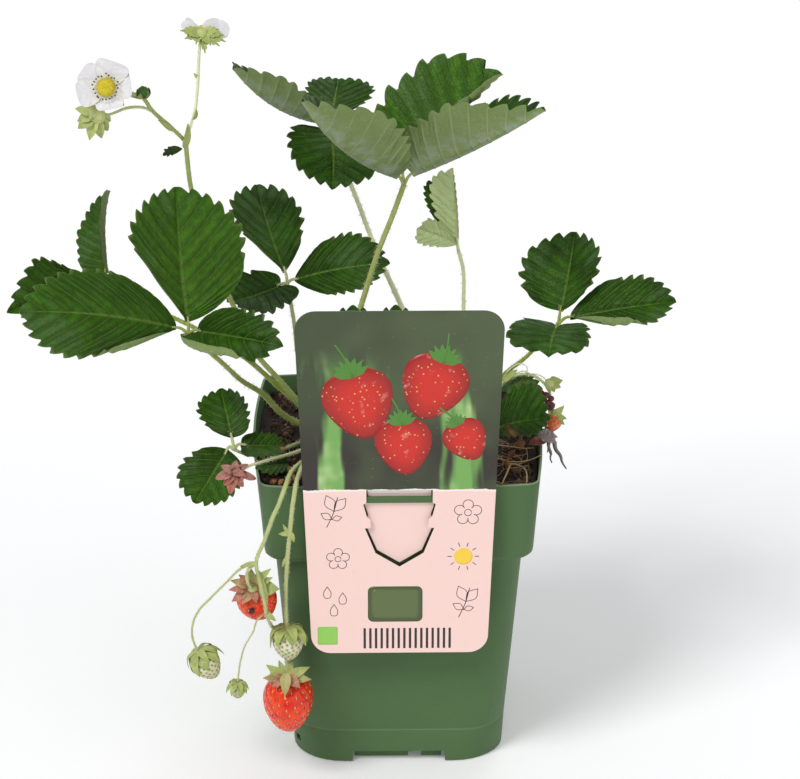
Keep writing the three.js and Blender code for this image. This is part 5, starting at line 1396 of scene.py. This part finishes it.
def labelLook():
    v = labelValues
    look = Look("label print")
    _, y, z = look.place.parts()
    wander = look.noise(look.place, 0.09, 4.0) * 9.0 + look.noise(look.place, 0.9, 3.0) * 1.6 - 5.3
    edge = z - v["panelZ"] + wander * 0.35 - 0.4
    upper = look.smooth(edge, -0.1, 0.1)
    torn = look.smooth(edge, -0.1, 0.1, 1.0, 0.0) * look.smooth(edge, -1.4, -0.6)
    links = {0: look.place, 2: (0.0, 0.6, 0.0), 3: (1.0, 1.0, 0.16)}  # leaning, and long in z
    slant = look.add("Mapping", {"vector_type": "POINT"}, links)
    blades = look.smooth(look.noise(slant, 0.09, 2.0), 0.52, 0.64)
    soft = look.noise(look.place, 0.022, 2.0)
    low = look.smooth(z, 222.0, 190.0)
    picture = look.mix(look.smooth(soft, 0.35, 0.65), v["olive"], (0.065, 0.092, 0.034))
    earth = look.smooth(z, 200.0, 165.0) * look.smooth(soft, 0.4, 0.6, 1.0, 0.3)
    picture = look.mix(earth, picture, (0.022, 0.016, 0.01))
    picture = look.mix(blades * low * 0.85, picture, (0.2, 0.46, 0.1))
    bright = blades * low * look.smooth(look.noise(look.place, 0.05, 2.0), 0.5, 0.7)
    picture = look.mix(bright, picture, (0.5, 0.66, 0.3))
    paper = look.mix(look.noise(look.place, 0.5, 4.0) * 0.3, v["pink"], scaled(v["pink"], 0.9))
    color = look.mix(torn * 0.6, paper, (0.97, 0.94, 0.92))
    color = look.mix(upper, color, picture)
    front, tongue = v["front"], v["tongueFront"]
    behind = look.smooth(y, front + 0.12, front + 0.32) * look.smooth(y, tongue - 0.2, tongue - 0.4)
    behind = behind.max(look.smooth(y, tongue + 0.1, tongue + 0.3))
    color = look.mix(behind, color, (0.86, 0.85, 0.82))
    speck = look.smooth(look.noise(look.place, 1.1, 1.0), 0.77, 0.79)
    color = look.mix(speck * 0.5, color, (0.4, 0.38, 0.34))
    rough = 0.3 + 0.12 * look.noise(look.place, 1.5, 3.0)
    waves = look.noise(look.place, 0.05, 2.0) * 4.0 + look.noise(look.place, 2.0, 2.0) * 0.2
    normal = look.bump(waves, 0.12, 0.6)
    return look.done(Base_Color=color, Roughness=rough, Normal=normal, Coat_Weight=0.15, Coat_Roughness=0.2)


# Printed shapes: the tint is their colour, and at tells how far in from the edge, and whether dotted.
def inkLook():
    look = Look("label motifs")
    inward, dots, _ = look.read("at").parts()
    color = look.read("tint")
    seeds = look.cells(look.place, 0.42)
    gold = look.smooth(seeds, 0.12, 0.2, 1.0, 0.0) * dots
    shaded = look.mix(look.smooth(inward, 0.35, 1.0, 0.0, 0.55) * dots, color, (0.16, 0.004, 0.004))
    shaded = look.mix(gold * 0.8, shaded, (0.75, 0.5, 0.15))
    shine = look.smooth(look.noise(look.place, 0.2, 2.0), 0.6, 0.72) * dots
    shaded = look.mix(shine * 0.25, shaded, (0.95, 0.5, 0.4))
    return look.done(Base_Color=shaded, Roughness=0.35)


ink = Shell()


# A printed patch: its outline shrunk towards the middle in rings, 0.03 mm proud of the card, or more
# by its layer.
def patch(outline, color, dots=0.0, layer=0.0):
    outline = np.array(outline, float)
    middle = outline.mean(axis=0)
    front = labelValues["front"]
    scales = np.array([1, 1, 0.85, 0.65, 0.4, 0.15])
    depth = np.array([front + 0.1] + [front - 0.03 - layer] * 5)
    flat = middle + (outline[None] - middle) * scales[:, None, None]
    depth = np.broadcast_to(depth[:, None], flat.shape[:2])
    points = np.stack([flat[..., 0], depth, flat[..., 1]], axis=-1)
    at = np.zeros(points.shape)
    at[..., 0], at[..., 1] = scales[:, None], dots
    ink.add(points, at, color)


# A printed line: a flat strip along a smooth path.
def stroke(points, width, color=labelValues["ink"], layer=0.0):
    p = np.array([(x, 0, z) for x, z in points], float)
    path = smoothPath(p, max(8, int(6 * len(p))))
    along = unit(np.gradient(path, axis=0))
    side = np.stack([along[:, 2], 0 * along[:, 0], -along[:, 0]], axis=-1) * width / 2
    front = labelValues["front"]
    near, far = np.array([0, front - 0.03 - layer, 0]), np.array([0, front + 0.1, 0])
    corners = [path + side + near, path - side + near, path - side + far, path + side + far]
    ink.add(np.stack(corners, axis=1), tint=color)


# Points on an arc; one shorter than about a full turn keeps its last point.
def circle(x, z, r, count=24, start=0.0, sweep=2 * np.pi):
    a = start + np.linspace(0, sweep, count, endpoint=sweep < 6)
    return np.column_stack([x + r * np.cos(a), z + r * np.sin(a)])


def roundedBox(x, z, halfX, halfZ, r):
    halfX, halfZ = halfX - r, halfZ - r
    corners = []
    for quarter, (cx, cz) in enumerate(((halfX, halfZ), (-halfX, halfZ), (-halfX, -halfZ), (halfX, -halfZ))):
        corners.append(circle(x + cx, z + cz, r, 6, quarter * math.pi / 2, math.pi / 2))
    return np.concatenate(corners)


# A berry's outline, broad at the shoulder: half width r sin f (1 + 0.3 cos f), turned by an angle.
def berryOutline(x, z, r, turn=0.0):
    f = np.linspace(0, 2 * np.pi, 40, endpoint=False)
    flat = np.column_stack([r * np.sin(f) * (1 + 0.3 * np.cos(f)), 1.12 * r * np.cos(f)])
    c, s = math.cos(turn), math.sin(turn)
    return flat @ np.array([[c, s], [-s, c]]) + (x, z)


labelMaterial = labelLook()
window = mirrored([
    (0.01, 111.9), (10.9, 118.8), (15.7, 131.3), (13.1, 131.6), (13.1, 135.6), (14.8, 137.1),
    (16.4, 143.3), (15, 144), (15, 150.4), (0.01, 150.4)])
tongue = mirrored([
    (0.01, 113), (10.2, 119.4), (14.9, 131), (14.9, 135), (14.2, 137.3), (16, 143), (14.4, 143.6),
    (14.4, 147.8), (0.01, 147.8)])
flatPlate("label_card", [cardEdge(), window], labelValues["front"], ("plant_label",))
flatPlate("label_tongue", [tongue], labelValues["tongueFront"])
fold = Shell()
t = np.linspace(0, 1, 8)[:, None]
top, low = np.array([0, -70.0, 150.7]), np.array([0, -67.6, 147.4])
spine = low + (top - low) * t + np.array([0, 0.25, 0]) * np.sin(np.pi * t)
ring = np.array([(-14.4, -0.2, 0), (14.4, -0.2, 0), (14.4, 0.2, 0.1), (-14.4, 0.2, 0.1)])
fold.add(spine[:, None] + ring[None])
fold.make("label fold", labelMaterial, "label", sharp=40)

for n, (x, z, r, turn) in enumerate(labelValues["berries"]):
    c, s = math.cos(turn), math.sin(turn)
    patch(berryOutline(x, z, r, turn), labelValues["berry"], 1.0, 0.004 * n)
    for k in range(7):
        a = turn + math.pi * (0.12 + 0.76 * k / 6)
        out, across = np.array([math.cos(a), math.sin(a)]), np.array([-math.sin(a), math.cos(a)])
        root = np.array([x, z]) + np.array([-s, c]) * r * 0.88
        kite = ((0, -0.06), (0.3, -0.13), (0.62, 0), (0.3, 0.13), (0, 0.06))
        leaf = [root + out * r * long + across * r * wide for long, wide in kite]
        patch(leaf, labelValues["leaf"], layer=0.02 + 0.006 * k)
    route = [(x - s * r * 0.9, z + c * r * 0.9), (x - s * r * 1.5 - 1, z + c * r * 1.5),
             (x - s * r * 2 - 3, z + c * r * 1.9)]
    stroke(route, 0.8, labelValues["leaf"], 0.075)
for side, z in ((-30, 139), (30, 93)):  # sprigs
    stroke([(side - 3, z - 7), (side, z), (side + 2, z + 8)], 0.35)
    for k, (dx, dz) in enumerate(((-5, 1), (4.5, -1), (-3.5, 6), (5.5, 4.5))):
        foot = (side - 1.5 + 0.9 * (k // 2 + 1), z - 3 + 4 * (k // 2))
        tip = (foot[0] + dx, foot[1] + dz + 2)
        mid = ((foot[0] + tip[0]) / 2, (foot[1] + tip[1]) / 2)
        bow = (-(tip[1] - foot[1]) * 0.28, (tip[0] - foot[0]) * 0.28)
        stroke([foot, (mid[0] + bow[0], mid[1] + bow[1]), tip], 0.3)
        stroke([foot, (mid[0] - bow[0], mid[1] - bow[1]), tip], 0.3)
for x, z, r in ((-28, 116, 3.2), (31, 139, 3.8)):  # round flowers
    stroke(circle(x, z, r * 0.42, sweep=6.3), 0.3)
    for k in range(5):
        a = 0.3 + 2 * math.pi * k / 5
        middle = (x + r * 1.05 * math.cos(a), z + r * 1.05 * math.sin(a))
        stroke(circle(*middle, r * 0.62, 14, a - 2.4, 4.8), 0.3)
x, z = labelValues["sun"]
patch(circle(x, z, 4.2), (0.9, 0.62, 0.05))
for k in range(10):
    a = 2 * math.pi * k / 10
    stroke([(x + r * math.cos(a), z + r * math.sin(a)) for r in (5.2, 6.3, 7.2)], 0.35)
for x, z in ((-33, 98), (-26, 95), (-30, 89)):  # drops
    drop = ((0, 4), (1.7, 0.6), (1.2, -1.6), (-1.2, -1.6), (-1.7, 0.6), (0, 4))
    stroke([(x + dx, z + dz) for dx, dz in drop], 0.3)
patch(roundedBox(-2, 93, 12.5, 9, 2.5), (0.07, 0.1, 0.03))
patch(roundedBox(-2, 93, 10.8, 7.3, 1.8), (0.11, 0.15, 0.05), layer=0.01)
patch(roundedBox(-33, 77, 4.6, 4.6, 0.8), (0.28, 0.6, 0.1))
for k in range(16):
    patch(roundedBox(-16 + 2.6 * k, 75.5, 0.55, 5.2, 0.2), labelValues["ink"])
ink.make("label motifs", inkLook(), "label")
print("label")


soilValues = {
    "dark": (0.012, 0.007, 0.005),
    "brown": (0.075, 0.036, 0.024),
    "half": 63.0,
    "plateau": 147.4,
    "wallLevel": 143.5,
    "tilt": 0.045,
    "crumbs": 3600,
    "chips": 120,
    "roots": 90,
}


# Smooth random height: random numbers on a square lattice, blended by the ease curve between them.
def grain(x, y, cell, seed):
    lattice = np.random.default_rng(seed).uniform(-1, 1, (64, 64))
    u, v = x / cell + 200.3, y / cell + 200.7
    i, j = np.floor(u).astype(int), np.floor(v).astype(int)
    fu, fv = ease(u - i, 0, 1), ease(v - j, 0, 1)
    a, b = lattice[i % 64, j % 64], lattice[(i + 1) % 64, j % 64]
    c, d = lattice[i % 64, (j + 1) % 64], lattice[(i + 1) % 64, (j + 1) % 64]
    return (a * (1 - fu) + b * fu) * (1 - fv) + (c * (1 - fu) + d * fu) * fv


# The soil's level: the plateau over the middle 62 per cent, falling at the wall to wallLevel less
# tilt times y, with three sizes of random lumps.
def soilLevel(x, y):
    v = soilValues
    scale = np.maximum(np.abs(x), np.abs(y)) / v["half"]
    edge = v["wallLevel"] - v["tilt"] * y / np.maximum(scale, 0.2)
    rise = np.clip((1 - scale) / 0.38, 0, 1)
    rough = 0.9 * grain(x, y, 9, 1) + 0.8 * grain(x, y, 3.4, 2) + 0.5 * grain(x, y, 1.5, 3)
    return edge + (v["plateau"] - edge) * rise + rough - 0.4


# One skin up the pot's wall and over the top in ever smaller rings, laid on the soil's level.
def makeSoil():
    clear, top = potValues["wall"] + 0.5, soilValues["wallLevel"]
    sides = squareRings([7.9, 17, 60, 107, 109.6, 110.6, 113, 132, 141], clear, 1.0, 70, 8)[0]
    scales = np.linspace(1, 0.01, 84)
    rings = np.concatenate([squareRings(top, clear, scale, 70, 8)[0] for scale in scales])
    rings[..., 2] = soilLevel(rings[..., 0], rings[..., 1])
    shell = Shell()
    shell.add(np.concatenate([sides, rings]))
    return shell


# Lumps: rings of a ball, each radius changed at random, then squashed and turned at random.
def lumps(shell, places, sizes, flat, tints, rows=5, columns=7):
    count = len(sizes)
    t = np.linspace(0.25, np.pi - 0.25, rows)[None, :, None]
    a = np.linspace(0, 2 * np.pi, columns, endpoint=False)[None, None]
    r = 1 + rng.uniform(-0.3, 0.3, (count, rows, columns))
    body = np.stack([r * np.sin(t) * np.cos(a), r * np.sin(t) * np.sin(a), r * np.cos(t) + 0 * a], axis=-1)
    body = body * flat[:, None, None] * sizes[:, None, None, None]
    turn = np.linalg.qr(rng.normal(size=(count, 3, 3)))[0]
    turn *= np.sign(np.linalg.det(turn))[:, None, None]
    shell.add(np.einsum("kij,knmj->knmi", turn, body) + places[:, None, None], tint=tints)


def soilLook():
    look = Look("potting mix")
    tone, bark, _ = look.read("tint").parts()
    coarse = look.noise(look.place, 0.35, 4.0)
    fine = look.noise(look.place, 1.6, 5.0, 0.7)
    color = look.mix(look.smooth(fine + tone * 0.3, 0.4, 0.75), soilValues["dark"], soilValues["brown"])
    color = look.mix(look.smooth(tone, 0.8, 0.98, 0.0, 0.8), color, (0.24, 0.13, 0.08))
    fibre = look.smooth(look.noise(look.place * (1.0, 0.25, 1.0), 2.4, 2.0), 0.66, 0.72)
    color = look.mix(fibre * 0.7, color, (0.26, 0.15, 0.07))
    barkColor = look.mix(coarse, (0.3, 0.11, 0.035), (0.5, 0.24, 0.1))
    color = look.mix(bark, color, barkColor)
    normal = look.bump(fine + coarse, 0.9)
    return look.done(Base_Color=color, Roughness=0.8 + 0.15 * fine, Normal=normal)


soilMaterial = soilLook()
makeSoil().make("potting mix", soilMaterial, "soil", "potting_soil")
count = soilValues["crumbs"]
xy = rng.uniform(-61, 61, (count, 2))
size = rng.gamma(1.8, 0.34, count) + 0.2
z = soilLevel(xy[:, 0], xy[:, 1]) + 0.2 * size
tints = np.column_stack([rng.uniform(0, 1, count), np.zeros((count, 2))])
crumbs = Shell()
flat = np.array([1, 1, 0.75]) * rng.uniform(0.7, 1.2, (count, 3))
lumps(crumbs, np.column_stack([xy, z]), size, flat, tints, 4, 6)
crumbs.make("soil crumbs", soilMaterial, "soil")
bark = Shell()
count = soilValues["chips"]
xy = rng.uniform(-58, 58, (count, 2))
size = rng.uniform(1.0, 2.6, count)
z = soilLevel(xy[:, 0], xy[:, 1]) + 0.5
tints = np.column_stack([rng.uniform(0, 1, count), rng.uniform(0.25, 1, count), np.zeros(count)])
flat = np.array([1.5, 0.8, 0.35]) * rng.uniform(0.7, 1.3, (count, 3))
lumps(bark, np.column_stack([xy, z]), size, flat, tints)
seen = np.array([  # place and size of the chips seen in the photo
    (-49.5, -45, 149.6, 1.9), (-50.0, -58, 149.4, 2.1), (-53.5, -58.5, 149.3, 1.6),
    (-56.5, -58.0, 149.0, 1.5), (57, -20, 149, 1.8), (50, -40, 149.5, 1.6)])
flat = np.array([1.5, 0.9, 0.6]) * np.ones((len(seen), 3))
lumps(bark, seen[:, :3], seen[:, 3], flat, (0.5, 1.0, 0.0))
bark.make("bark chips", soilMaterial, "soil")

rootShell = Shell()
for k in range(soilValues["roots"]):
    x, y = rng.uniform(-58, 58, 2) if k % 2 else (rng.uniform(44, 58), rng.uniform(-58, 5))
    a = rng.uniform(0, 2 * np.pi)
    reach = rng.uniform(8, 26)
    t = np.linspace(0, 1, 6)
    px = np.clip(x + reach * t * math.cos(a) + 2.0 * np.sin(5 * t + k), -60, 60)
    py = np.clip(y + reach * t * math.sin(a) + 2.0 * np.cos(4 * t + k), -60, 60)
    pz = soilLevel(px, py) + 0.5 + 1.3 * np.sin(np.pi * t) * rng.uniform(0.2, 1)
    route, thick, tone = np.column_stack([px, py, pz]), rng.uniform(0.08, 0.3), rng.uniform(0, 1)
    tube(rootShell, route, thick, 6, 1.4, (tone, 0, 0), (1, 0.4))
for route, radius, tone in (
        ([(51.2, -40.7, 148.8), (49.5, -50, 149.6), (46.7, -60.2, 148.6)], 0.5, 1.3),
        ([(57.5, -43, 148.6), (58.3, -50, 149.4), (58.1, -58.3, 148.4)], 0.4, 1.3),
        ([(50.5, -40.5, 149.2), (53, -41, 149.6), (57, -42.5, 148.8)], 0.45, 1.2),
        ([(46, -17, 148.4), (52, -20.6, 149.2), (58.9, -21.9, 148.8), (63, -20.9, 148.6)], 0.4, 0.7),
        ([(45, -31.7, 148.6), (52.2, -37.4, 149), (59.6, -36.4, 149.2), (66.4, -33.2, 150.8)], 0.45, 0.6)):
    tube(rootShell, route, radius, 7, 1.2, (tone, 0, 0), (1, 0.6), 0.2)


def rootLook():
    look = Look("roots")
    tone = look.read("tint").parts()[0]
    cloud = look.noise(look.place, 0.6, 3.0)
    color = look.mix(look.smooth(tone + cloud - 0.5, 0.0, 1.0), (0.2, 0.1, 0.06), (0.5, 0.35, 0.17))
    return look.done(Base_Color=color, Roughness=0.75, Normal=look.bump(cloud, 0.2))


rootShell.make("roots", rootLook(), "soil")
print("soil")


cameraValues = {
    "target": (1.3, 0.0, 169.5),
    "distance": 1740.0,
    "elevation": 23.4,
    "yaw": -0.9,
    "lens": 167.85,
    "sensor": 36.0,
    "clip": (0.1, 20.0),
}
lightValues = {  # place, spread in degrees and strength
    "key": ((-0.7, -0.8, 1.15), 22, 1.7),
    "fill": ((1.0, -0.9, 0.5), 50, 0.5),
    "back": ((0.35, 1.2, 1.0), 35, 0.6),
}
floorValues = {"half": 6.0, "level": -0.0005, "color": (0.93, 0.93, 0.93), "glow": 0.13}
skyValues = {"color": (0.95, 0.96, 1.0), "strength": 0.4}


def addCamera():
    v = cameraValues
    camera = bpy.data.objects.new("camera", bpy.data.cameras.new("camera"))
    bpy.context.scene.collection.objects.link(camera)
    camera.data.lens, camera.data.sensor_width = v["lens"], v["sensor"]
    camera.data.clip_start, camera.data.clip_end = v["clip"]
    a, e = math.radians(v["yaw"]), math.radians(v["elevation"])
    away = Vector((math.sin(a) * math.cos(e), -math.cos(a) * math.cos(e), math.sin(e)))
    camera.location = (Vector(v["target"]) + away * v["distance"]) / 1000
    camera.rotation_euler = (-away).to_track_quat("-Z", "Y").to_euler()
    bpy.context.scene.camera = camera


def addLight(name, at, spread, strength):
    lamp = bpy.data.lights.new(name, "SUN")
    lamp.angle, lamp.energy = math.radians(spread), strength
    light = bpy.data.objects.new(name, lamp)
    bpy.context.scene.collection.objects.link(light)
    light.location = at
    light.rotation_euler = (-Vector(at)).to_track_quat("-Z", "Y").to_euler()


def addFloor():
    v = floorValues
    half, level = v["half"], v["level"]
    mesh = bpy.data.meshes.new("floor")
    corners = [(-half, -half, level), (half, -half, level), (half, half, level), (-half, half, level)]
    mesh.from_pydata(corners, [], [(0, 1, 2, 3)])
    look = Look("floor paper")
    mesh.materials.append(look.done(Base_Color=v["color"], Roughness=0.9, Specular_IOR_Level=0.1,
                                    Emission_Color=(1.0, 1.0, 1.0), Emission_Strength=v["glow"]))
    floor = bpy.data.objects.new("floor", mesh)
    bpy.context.scene.collection.objects.link(floor)


addCamera()
addFloor()
for name, light in lightValues.items():
    addLight(name, *light)
world = bpy.data.worlds.new("studio")
world.use_nodes = True
sky = world.node_tree.nodes["Background"].inputs
sky["Color"].default_value = (*skyValues["color"], 1)
sky["Strength"].default_value = skyValues["strength"]
bpy.context.scene.world = world
bpy.context.scene.view_settings.view_transform = "Standard"
print("camera, light and floor")
